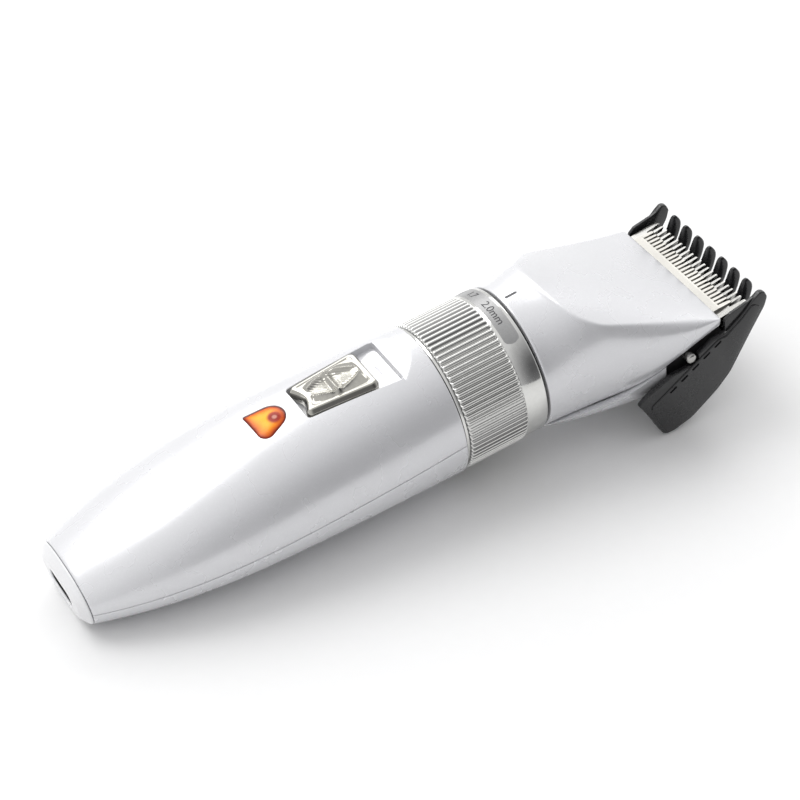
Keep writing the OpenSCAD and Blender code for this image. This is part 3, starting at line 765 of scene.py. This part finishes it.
# ---- taper ring
RING_LOW, RING_HIGH = span("taper_ring")
RIBS = 80
RIB_TOP, RIB_ROOT = RING_HIGH.y, RING_HIGH.y - 0.62
BAND_R = RIB_TOP - 0.35
RIB_BACK, RIB_FRONT = 0.95, 17.3
RING_BACK_R = 18.7
RING_BORE = 17.4


def make_ring():
    """The ring in one skin: rear lip, rounded ribs, smooth band and the bore."""
    per_rib = 10
    count = RIBS * per_rib
    lip = [(RING_LOW.x, RING_BACK_R - 0.5), (RING_LOW.x + 0.05, RING_BACK_R - 0.2),
           (RIB_BACK - 0.1, RING_BACK_R)]
    front = RING_HIGH.x
    band = [(RIB_FRONT + 0.15, BAND_R - 0.12), (RIB_FRONT + 0.35, BAND_R), (front - 0.5, BAND_R),
            (front - 0.2, BAND_R - 0.06), (front - 0.06, BAND_R - 0.2), (front, BAND_R - 0.45)]
    rings = [circle(x, r, count) for x, r in lip]
    for x in end_steps(RIB_BACK, RIB_FRONT, [0, 0.04, 0.12, 0.25, 0.45, 0.7, 1.0], 8):
        d = min(x - RIB_BACK, RIB_FRONT - x)
        end = math.sqrt(max(0.0, 1 - (1 - clamp(d / 0.8)) ** 2))
        low = RING_BACK_R if x < (RIB_BACK + RIB_FRONT) / 2 else BAND_R - 0.12
        ring = []
        for k in range(count):
            f = (k % per_rib) / per_rib
            crest = 1 - abs((f - 0.5) / 0.42) ** 2.6 if 0.08 < f < 0.92 else 0.0
            floor = mix(low, RIB_ROOT, end)
            r = mix(floor, mix(RIB_ROOT, RIB_TOP, max(0.0, crest)), end)
            a = 2 * math.pi * k / count
            ring.append((x, r * math.cos(a), r * math.sin(a)))
        rings.append(ring)
    tail = band + [(front, RING_BORE + 0.3), (front - 0.3, RING_BORE), (RING_LOW.x + 0.3, RING_BORE),
                   (RING_LOW.x, RING_BORE + 0.3)]
    rings += [circle(x, r, count) for x, r in tail]
    made = solid("taper_ring_chromed", *loft(rings, "closed"))
    return settle(made, "ring", CHROME, ["taper_ring"], sharp=55)


PANEL_X = (RIB_FRONT + 0.75, RING_HIGH.x - 1.0)


def make_ring_panel():
    """Grey scale panel on the band, from past the index on one side to the far side."""
    first, last = math.radians(-36), math.radians(108)
    rings = []
    for a in steps(first, last, 96):
        draw = quarter(1.6, min(a - first, last - a) * BAND_R)
        xs = steps(PANEL_X[0] + draw, PANEL_X[1] - draw, 4)
        over = [(x, BAND_R + 0.035) for x in xs]
        under = [(x, BAND_R - 0.05) for x in xs[::-1]]
        rings.append([(x, r * math.sin(a), r * math.cos(a)) for x, r in over + under])
    made = solid("scale_panel", *loft(rings))
    return settle(made, "ring", LABEL, sharp=40)


def text_mesh(words, size):
    """The built-in letter shapes, as a flat mesh a hair thick, centred."""
    curve = bpy.data.curves.new("letters", "FONT")
    curve.body, curve.size, curve.extrude = words, size, 0.03
    curve.align_x, curve.align_y = "CENTER", "CENTER"
    made = placed("letters", curve)
    bpy.context.view_layer.update()
    shaped = made.evaluated_get(bpy.context.evaluated_depsgraph_get())
    mesh = bpy.data.meshes.new_from_object(shaped)
    bpy.data.objects.remove(made)
    return mesh


LONGEST_CUT, CUT_STEP, STOPS = 2.0, 0.3, 5


def make_ring_numbers():
    """Cutting lengths, one for each stop of the ring; the first has its unit behind it."""
    turn = joints["ring_turn"]["range_deg"][1]
    middle = sum(PANEL_X) / 2
    work = bmesh.new()
    for i in range(STOPS):
        unit, shift = ("mm", 7) if i == 0 else ("", 0)
        mesh = text_mesh(f"{LONGEST_CUT - CUT_STEP * i:.1f}" + unit, 3.0)
        centre = math.radians(turn * i / (STOPS - 1) - shift)
        for v in mesh.vertices:
            a = centre - v.co.x / BAND_R
            r = BAND_R + 0.05 + v.co.z
            v.co = (middle + v.co.y, r * math.sin(a), r * math.cos(a))
        work.from_mesh(mesh)
    made = placed("scale_numbers", mesh_from(work, "scale_numbers"))
    return settle(made, "ring", INK)


# ---- head
HEAD_LOW, HEAD_HIGH = span("head_housing")
HEAD_BACK, HEAD_FRONT = HEAD_LOW.x, HEAD_HIGH.x
HEAD_R = 19.34
FACET_SLOPE = 0.4877
HEAD_FLARE, HEAD_DRAW_IN = 3.4, 1.6            # growth of the half width, and loss at the front
EDGE_DEPTH, EDGE_RISE = 11.6, 7.4              # lower edge at the ring, and how far it rises
HEAD_EDGE = 0.35
HEAD_NEAR = (0, 0.03, 0.1, 0.2, HEAD_EDGE)


def head_u(x):
    """0 at the ring, 1 at the front edge."""
    return clamp((x - HEAD_BACK) / (HEAD_FRONT - HEAD_BACK))


def head_w(x):
    """Half width: it flares towards the blades and draws in at the front edge."""
    return HEAD_R + HEAD_FLARE * ease(head_u(x)) - HEAD_DRAW_IN * head_u(x) ** 6


def head_top(x):
    """Height of the section before the facet cuts it."""
    return soft_min(HEAD_R + 1.5 * ease(2 * head_u(x)), 0.6 + 1.28 * facet(x, 0), 1.2)


def head_low(x):
    """Depth of the section, of which only the part above side_edge is kept."""
    return HEAD_R + 0.6 - 0.6 * (1 - head_u(x)) - 12 * ease(head_u(x) * 2 - 1)


def head_power(x, upper):
    """How square the section is: the upper half soon, the lower half slowly."""
    return 2 + 0.4 * ease((x - HEAD_BACK) / 14) if upper else 2 + 0.6 * head_u(x)


def side_edge(x):
    """Depth of the head's lower edge, which the bottom cover meets."""
    return EDGE_DEPTH - EDGE_RISE * ease((x - 43) / 28)


def facet(x, y):
    """Height of the sloping top face, slightly arched across."""
    sag = 0.4 + 3.2 * (HEAD_FRONT - x) / 32.6
    return 0.2 + FACET_SLOPE * (HEAD_FRONT - x) - sag * (y / 20) ** 2


def head_wall(x):
    return WALL - 1.2 * ease(head_u(x) * 1.6 - 0.6)


def head_point(x, off, a, blend):
    """Point of the section at angle a, drawn in by off, its facet edge rounded by blend."""
    upper = math.sin(a) >= 0
    h = (head_top(x) if upper else head_low(x)) - off
    w, n = head_w(x) - off, head_power(x, upper)
    y = w * signed_power(math.cos(a), 2 / n)
    z = h * signed_power(math.sin(a), 2 / n)
    if z > -1:
        z = soft_min(z, facet(x, y) - off, blend)
    return (x, y, z)


def edge_angle(x, off):
    """Angle below the parting line at which the section reaches side_edge."""
    return math.asin((side_edge(x) / (head_low(x) - off)) ** (head_power(x, False) / 2))


def make_head():
    count = 200
    rings = []
    for x in end_steps(HEAD_BACK, HEAD_FRONT, HEAD_NEAR, 130):
        inset = max(quarter(HEAD_EDGE, x - HEAD_BACK), 0.6 * quarter(HEAD_EDGE, HEAD_FRONT - x))
        blend = mix(0.6, 0.25, head_u(x))
        e0, e1 = edge_angle(x, inset), edge_angle(x, head_wall(x))
        outside = [head_point(x, inset, mix(-e0, math.pi + e0, i / count), blend)
                   for i in range(count + 1)]
        inside = [head_point(x, head_wall(x), mix(-e1, math.pi + e1, i / count), blend)
                  for i in range(count + 1)]
        rings.append(outside + inside[::-1])
    made = solid("head_shell", *loft(rings, "strip"))
    return settle(made, "handle", PAINT, ["head_housing"])


def make_index():
    """Printed index line on the head, just ahead of the ring."""
    back, front, half = 25.2, 28.6, 0.33
    rings = []
    for x in steps(back, front, 12):
        z = head_point(x, 0, math.pi / 2, 1.4)[2]
        draw = 0.8 * quarter(0.3, min(x - back, front - x))
        ys = steps(-half + draw, half - draw, 3)
        rings.append([(x, y, z + 0.03) for y in ys] + [(x, y, z - 0.2) for y in ys[::-1]])
    made = solid("index_line", *loft(rings))
    return settle(made, "handle", INK)


COVER_FRONT = span("head_bottom_cover")[1].x
COVER_WALL = 1.5
COVER_GAP = 0.3


def cover_section(x, off):
    """Half width, depth and squareness of the cover, drawn in by off."""
    u = (x - HEAD_BACK) / (COVER_FRONT - HEAD_BACK)
    return HEAD_R - 0.2 + 1.1 * u - off, HEAD_R + 1.6 * u - off, 2 + 3 * u


def cover_point(x, off, a):
    w, h, n = cover_section(x, off)
    return (x, w * signed_power(math.cos(a), 2 / n), h * signed_power(math.sin(a), 2 / n))


def cover_angle(x, off):
    h, n = cover_section(x, off)[1:]
    return math.asin(((side_edge(x) + COVER_GAP) / h) ** (n / 2))


def make_bottom_cover():
    count = 150
    rings = []
    for x in end_steps(HEAD_BACK, COVER_FRONT, HEAD_NEAR, 80):
        inset = max(quarter(HEAD_EDGE, x - HEAD_BACK), quarter(HEAD_EDGE, COVER_FRONT - x))
        e0, e1 = cover_angle(x, inset), cover_angle(x, COVER_WALL)
        outside = [cover_point(x, inset, mix(math.pi + e0, 2 * math.pi - e0, i / count))
                   for i in range(count + 1)]
        inside = [cover_point(x, COVER_WALL, mix(math.pi + e1, 2 * math.pi - e1, i / count))
                  for i in range(count + 1)]
        rings.append(outside + inside[::-1])
    made = solid("head_under_cover", *loft(rings, "strip"))
    return settle(made, "handle", PAINT, ["head_bottom_cover"])


# ---- blades
SET = Vector(joints["blade_set"]["axis"])
BLADE_X = Vector((SET.dot(ALONG), 0, SET.dot(UP)))
BLADE_Z = BLADE_X.cross(LEFT)
TIP = Vector((span("fixed_blade")[1].x, 0, -0.6))


def in_blade(points):
    """Points given along and square to the blades, in the body frame."""
    return [tuple(TIP + BLADE_X * x + LEFT * y + BLADE_Z * z) for x, y, z in points]


def toothed_plate(name, rows, teeth, root):
    """A plate with teeth along its front. rows are (x, lower z, upper z, tooth scale), from the
    tips back; teeth are (right edge, left edge); root is the row where the gaps end."""
    points, faces = [], []
    index = {}

    def corner(row, tooth, edge, upper):
        key = (row, tooth, edge, upper)
        if key not in index:
            x, low, high, scale = rows[row]
            a, b = teeth[tooth]
            middle, half = (a + b) / 2, (b - a) / 2 * scale
            index[key] = len(points)
            points.append((x, middle + (half if edge else -half), high if upper else low))
        return index[key]

    last = len(rows) - 1
    for t in range(len(teeth)):
        for r in range(last):
            for upper in (0, 1):
                faces.append((corner(r, t, 0, upper), corner(r, t, 1, upper),
                              corner(r + 1, t, 1, upper), corner(r + 1, t, 0, upper)))
            for edge in (0, 1):
                end = t == (len(teeth) - 1 if edge else 0)
                if r < root or end:
                    faces.append((corner(r, t, edge, 0), corner(r + 1, t, edge, 0),
                                  corner(r + 1, t, edge, 1), corner(r, t, edge, 1)))
        for r in (0, last):
            faces.append((corner(r, t, 0, 0), corner(r, t, 1, 0), corner(r, t, 1, 1), corner(r, t, 0, 1)))
    for t in range(len(teeth) - 1):
        for r in range(root, last):
            for upper in (0, 1):
                faces.append((corner(r, t, 1, upper), corner(r, t + 1, 0, upper),
                              corner(r + 1, t + 1, 0, upper), corner(r + 1, t, 1, upper)))
        for r in (root, last):
            faces.append((corner(r, t, 1, 0), corner(r, t + 1, 0, 0), corner(r, t + 1, 0, 1),
                          corner(r, t, 1, 1)))
    return solid(name, in_blade(points), faces)


FIXED_TEETH, FIXED_PITCH, FIXED_GAP = 21, 1.705, 0.8
MOVING_SLOTS, MOVING_PITCH, MOVING_GAP = 24, 1.4, 0.6


def teeth_between(half, slots, pitch, gap):
    """Edges of the teeth of a blade, with a wide one at each end."""
    middles = [(i - (slots - 1) / 2) * pitch for i in range(slots)]
    teeth = [(a + gap / 2, b - gap / 2) for a, b in zip(middles, middles[1:])]
    return [(-half, middles[0] - gap / 2)] + teeth + [(middles[-1] + gap / 2, half)]


def make_fixed_blade():
    teeth = teeth_between(span("fixed_blade")[1].y, FIXED_TEETH + 1, FIXED_PITCH, FIXED_GAP)
    rows = [(0, -0.3, -0.06, 0.35), (-0.12, -0.42, -0.02, 0.5), (-0.4, -0.72, 0, 0.6),
            (-1.2, -1.5, 0, 0.72), (-2.8, -3.1, 0, 0.9), (-4.4, -4.7, 0, 1), (-4.42, -4.72, 0, 1),
            (-5.4, -5.6, 0, 1), (-7.2, -5.6, 0, 1), (-9.4, -1.5, 0, 1), (-16.7, -1.5, 0, 1)]
    made = toothed_plate("fixed_blade_ground", rows, teeth, 5)
    return settle(made, "handle", STEEL, ["fixed_blade"], sharp=25)


def make_moving_blade():
    teeth = teeth_between(span("moving_blade")[1].y, MOVING_SLOTS, MOVING_PITCH, MOVING_GAP)
    rows = [(-3.1, 0.06, 0.2, 0.5), (-3.25, 0.06, 0.29, 0.62), (-3.7, 0.06, 0.36, 0.8),
            (-5, 0.06, 0.53, 0.95), (-6.6, 0.06, 0.72, 1), (-6.62, 0.06, 0.73, 1), (-7.2, 0.06, 0.8, 1),
            (-24.5, 0.06, 0.8, 1)]
    made = toothed_plate("moving_blade_ground", rows, teeth, 4)
    return settle(made, "cutter", CUTTER, ["moving_blade"], sharp=25)


# ---- guide comb
WALL_OUT = span("guide_comb")[1].y
WALL_IN = WALL_OUT - 1.9
COMB_TEETH, COMB_PITCH = 7, 5.18
SLOTS, SLOT_START, SLOT_STEP = 5, Vector((56.6, -15.35)), Vector((3.5, 1.9))
SLOT_LENGTH, SLOT_HEIGHT, SLOT_TILT = 2.4, 0.8, math.radians(28.5)

# Outlines in x and z: side wall with its corner radii, raised panel on it, and the thin cheek
WALL_SHAPE = [(47.4, -14.8), (50.6, -12.6), (58, -10.1), (65.9, -10.0), (65.9, -7.4),
              (70.6, -5.2), (74.6, -4.9), (79.8, -1.6), (83.4, 1.6), (85.2, 2.8), (86.6, 1.9),
              (87.2, 0.2), (86.4, -2.4), (82, -8.7), (75.2, -19), (71, -22.8),
              (62.8, -27.9), (57.6, -29.1), (54.2, -29.0), (52.9, -26.5), (50, -19.9)]
WALL_ROUND = [0.8, 3, 4, 0.5, 0.6, 1.5, 4, 20, 1.2, 1.1, 1.0, 1.0, 6, 40, 12, 12, 8, 2.6, 2.4, 6, 8]
PANEL_SHAPE = [(50.6, -17.0), (71.9, -5.6), (74.3, -5.7), (79.4, -2.5), (82.6, 0.3),
               (85.2, -1.8), (81, -8.2), (74.6, -17.8), (70.4, -21.6), (62.4, -26.9), (57.4, -28.2),
               (54.6, -28.0), (53.6, -26.0)]
CHEEK_SHAPE = [(74.5, -6.5), (74.5, -1.4), (76.2, 0), (81.5, 0.9), (84.4, 1.9), (85.2, 0.5),
               (84, -2), (80, -5)]


def tooth_stations():
    """Inner and outer point of the tooth's profile and its thickness, from the base to the tip."""
    return [(67.8, -21.4, 71.0, -22.8, 3.5), (71.2, -17.7, 75.2, -19.0, 3.6),
            (76.8, -9.7, 82.0, -8.7, 3.7), (81.2, -4.8, 85.2, -4.2, 3.5),
            (82.9, -2.0, 86.7, -1.2, 2.8), (83.9, 0.7, 87.0, 0.4, 2.0), (84.5, 2.1, 86.3, 1.9, 1.3),
            (85.0, 2.65, 85.7, 2.6, 0.6)]


def comb_tooth(y):
    run = catmull(tooth_stations(), 6)
    around = 28
    rings = []
    for xi, zi, xo, zo, thick in run:
        inner, outer = Vector((xi, zi)), Vector((xo, zo))
        middle, half = (inner + outer) / 2, (outer - inner) / 2
        ring = []
        for k in range(around):
            a = 2 * math.pi * k / around
            p = middle + half * signed_power(math.cos(a), 0.6)
            ring.append((p.x, y + thick / 2 * signed_power(math.sin(a), 0.7), p.y))
        rings.append(ring)
    return solid("comb_tooth", *loft(rings))


def comb_side(sign):
    """Wall, panel with its row of slots, and cheek on one side."""
    def plate(name, outline, inner, outer, edge, rounds=3):
        return slab(name, outline, *sorted((sign * inner, sign * outer)), edge, rounds)

    wall = plate("comb_wall", round_corners(WALL_SHAPE, WALL_ROUND), WALL_IN, WALL_OUT - 0.35, 0.3)
    panel = plate("comb_panel", round_corners(PANEL_SHAPE, 1.2), WALL_OUT - 0.7, WALL_OUT, 0.22)
    along = Vector((math.cos(SLOT_TILT), math.sin(SLOT_TILT))) * SLOT_LENGTH
    across = Vector((-math.sin(SLOT_TILT), math.cos(SLOT_TILT))) * SLOT_HEIGHT
    for i in range(SLOTS):
        start = SLOT_START + SLOT_STEP * i
        shape = round_corners([start, start + along, start + along + across, start + across], 0.3, 3)
        carve(panel, plate("slot_cutter", shape, WALL_OUT - 0.45, WALL_OUT + 1, 0.02, 1))
    cheek = plate("comb_cheek", round_corners(CHEEK_SHAPE, 0.8, 5), WALL_IN + 0.02, WALL_IN + 0.9,
                  0.15)
    return [wall, panel, cheek]


def comb_plate():
    """Slotted plate between the walls, under the teeth's roots."""
    shape = round_corners([(71, -22.8), (62.8, -27.9), (60.4, -26.2), (60.4, -24.6), (69.6, -18.9),
                           (71.6, -20.0)], [3, 2, 0.8, 0.8, 0.8, 0.8], 5)
    made = slab("comb_plate", shape, -WALL_IN - 0.3, WALL_IN + 0.3, 0.1)
    width, half = 1.2, 13
    for i in range(3):
        x = 61.7 + 2.6 * i
        slot = round_corners([(x, -half), (x + width, -half), (x + width, half), (x, half)], 0.55)
        rings = [[(px, py, z) for px, py in slot] for z in (-32, -14)]
        carve(made, solid("slot_cutter", *loft(rings)))
    return made


def make_comb():
    parts = comb_side(1) + comb_side(-1) + [comb_plate()]
    parts += [comb_tooth((i - (COMB_TEETH - 1) / 2) * COMB_PITCH) for i in range(COMB_TEETH)]
    made = joined("guide_comb_moulding", parts)
    return settle(made, "comb", BLACK, ["guide_comb"], sharp=35)


# ---- small pieces
PEG_START = 19.02


def make_pegs():
    low, high = span("comb_pegs")
    middle = (low + high) / 2
    r = (high.x - low.x) / 2
    reach = high.y - PEG_START
    for sign, side in ((1, "left"), (-1, "right")):
        profile = [(0, r), (reach - 0.7, r), (reach - 0.35, r * 0.92), (reach - 0.12, r * 0.72),
                   (reach - 0.02, r * 0.4), (reach, 0.05)]
        made = lathe(f"comb_peg_{side}", profile, (middle.x, sign * PEG_START, middle.z),
                     (0, sign, 0))
        settle(made, "handle", STEEL, ["comb_pegs"], sharp=50)


def make_switch_mark():
    """Bar moulded in the recess floor, ahead of the knob."""
    z, half = RECESS_FLOOR + 0.03, 1.6
    bar = [[(x, y, h) for y, h in ((-half, z), (half, z), (half, z - 0.2), (-half, z - 0.2))]
           for x in (-11.4, -11.0)]
    made = solid("switch_mark", *loft(bar))
    return settle(made, "handle", FAINT)


# ---- inner CAD nodes
def dress(nodes, look):
    """Gives some CAD nodes one material and leaves their meshes alone."""
    for node in nodes:
        data = frame["nodes"][node].data
        data.materials.clear()
        data.materials.append(look)


def dress_inner_nodes():
    """Looks of the inner pieces, which keep their CAD meshes."""
    zinc = finish("bright_metal", (0.7, 0.7, 0.68), 1.0, 0.3, 1200, 0.004, 0.08, stretch=(1, 6, 1))
    dress(["charge_pins", "shell_screw", "cell_terminals", "detent_spring", "motor_shaft",
           "blade_screws", "cam_follower", "pressure_spring", "yoke_rivets"], zinc)
    can = finish("motor_steel", (0.56, 0.56, 0.57), 1.0, 0.36, 900, 0.004, 0.1, stretch=(1, 10, 10))
    dress(["motor_can"], can)
    dress(["motor_magnets"], finish("ferrite", (0.05, 0.05, 0.052), 0.2, 0.6, 3000, 0.02, 0.25))
    dress(["motor_rotor"], finish("rotor_windings", (0.55, 0.24, 0.09), 0.8, 0.4, 900, 0.02, 0.2,
                                  stretch=(1, 8, 8)))
    nylon = finish("white_nylon", (0.72, 0.71, 0.66), 0.0, 0.45, 1200, 0.01, 0.04,
                   sockets={"Subsurface Weight": 0.1})
    dress(["cell_spacer", "motor_end_cap", "eccentric_cam", "drive_yoke"], nylon)
    dress(["charge_inlet", "switch_housing", "switch_slider", "neck", "motor_sleeve",
           "blade_carriage", "blade_base"], HOLDER)
    dress(["battery_cells"], finish("cell_sleeve", (0.03, 0.2, 0.09), 0.0, 0.3, 500, 0.01, 0.15))
    dress(["circuit_board"], finish("board_lacquer", (0.01, 0.12, 0.04), 0.0, 0.35, 1800, 0.006, 0.3))
    dress(["board_parts"], finish("component_epoxy", (0.03, 0.03, 0.032), 0.0, 0.5, 2500, 0.01, 0.3))
    dress(["led"], finish("lamp_red", (0.55, 0.03, 0.02), 0.0, 0.15, 900, 0.003, 0.15,
                          sockets={"Coat Weight": 0.8}))
    dress(["lead_wires"], finish("wire_insulation", (0.4, 0.02, 0.02), 0.0, 0.45, 1500, 0.006, 0.1))


# ---- studio
CAMERA_AIM = (-5.5, 3.7, 0)     # in the body frame
CAMERA_DISTANCE = 582.4         # in millimetres
CAMERA_AZIMUTH = -29.86         # angles in degrees
CAMERA_ELEVATION = 40.64
CAMERA_ROLL = -0.48
CAMERA_LENS = 106.03
DARK_SIDE = (25, 18)            # azimuth and elevation of the unlit end of the room
FLOOR_HALF = 3.0                # in metres


def direction(azimuth, elevation):
    """Unit vector of the row frame; azimuth 0 is the right-hand side of the clipper."""
    a, e = math.radians(azimuth), math.radians(elevation)
    return Vector((math.sin(a) * math.cos(e), -math.cos(a) * math.cos(e), math.sin(e)))


def make_camera():
    data = bpy.data.cameras.new("camera")
    data.lens = CAMERA_LENS
    data.sensor_width = 36
    data.clip_start, data.clip_end = 0.01, 20
    made = placed("camera", data)
    back = direction(CAMERA_AZIMUTH, CAMERA_ELEVATION)
    made.rotation_mode = "QUATERNION"
    turn = (-back).to_track_quat("-Z", "Y")
    roll = Matrix.Rotation(math.radians(CAMERA_ROLL), 4, "Z").to_quaternion()
    made.rotation_quaternion = turn @ roll
    made.location = PLACE @ Vector(CAMERA_AIM) + back * CAMERA_DISTANCE * MM
    bpy.context.scene.camera = made


def area_light(name, azimuth, elevation, distance, size, power_w):
    """A rectangular softbox aimed at the clipper; lengths in metres."""
    data = bpy.data.lights.new(name, "AREA")
    data.shape = "RECTANGLE"
    data.size, data.size_y = size
    data.energy = power_w
    made = placed(name, data)
    back = direction(azimuth, elevation)
    made.location = back * distance
    made.rotation_mode = "QUATERNION"
    made.rotation_quaternion = (-back).to_track_quat("-Z", "Y")


def make_floor():
    corners = [(x * FLOOR_HALF, y * FLOOR_HALF, 0) for x, y in ((-1, -1), (1, -1), (1, 1), (-1, 1))]
    mesh = bpy.data.meshes.new("floor")
    mesh.from_pydata(corners, [], [(0, 1, 2, 3)])
    mesh.materials.append(finish("floor_paper", (0.86, 0.86, 0.86), 0.0, 0.7, 300, 0.02, 0.005))
    placed("floor", mesh)


def make_world():
    """A white room that falls off to grey on one side."""
    world = bpy.data.worlds.new("studio")
    world.use_nodes = True
    nodes, links = world.node_tree.nodes, world.node_tree.links
    nodes.clear()
    out = nodes.new("ShaderNodeOutputWorld")
    light = nodes.new("ShaderNodeBackground")
    place = nodes.new("ShaderNodeTexCoord")
    toward = nodes.new("ShaderNodeVectorMath")
    toward.operation = "DOT_PRODUCT"
    toward.inputs[1].default_value = direction(*DARK_SIDE)
    links.new(place.outputs["Generated"], toward.inputs[0])
    tones = [(0.3, (1, 1, 1)), (0.62, (0.8, 0.8, 0.81)), (0.85, (0.45, 0.45, 0.46)),
             (1.0, (0.12, 0.12, 0.125))]
    links.new(ramp(nodes, links, toward.outputs["Value"], tones), light.inputs["Color"])
    light.inputs["Strength"].default_value = 0.95
    links.new(light.outputs["Background"], out.inputs["Surface"])
    bpy.context.scene.world = world
    bpy.context.scene.view_settings.view_transform = "Standard"


# ---- build
make_camera()
make_floor()
area_light("key_softbox", -150, 55, 1.3, (0.8, 0.8), 7)
area_light("back_strip", 150, 40, 1.3, (1.2, 0.5), 4)
make_world()
make_top_shell()
make_bottom_shell()
make_tail_cap()
make_lens()
make_knob()
make_switch_mark()
make_ring()
make_ring_panel()
make_ring_numbers()
make_head()
make_index()
make_bottom_cover()
make_fixed_blade()
make_moving_blade()
make_comb()
make_pegs()
dress_inner_nodes()
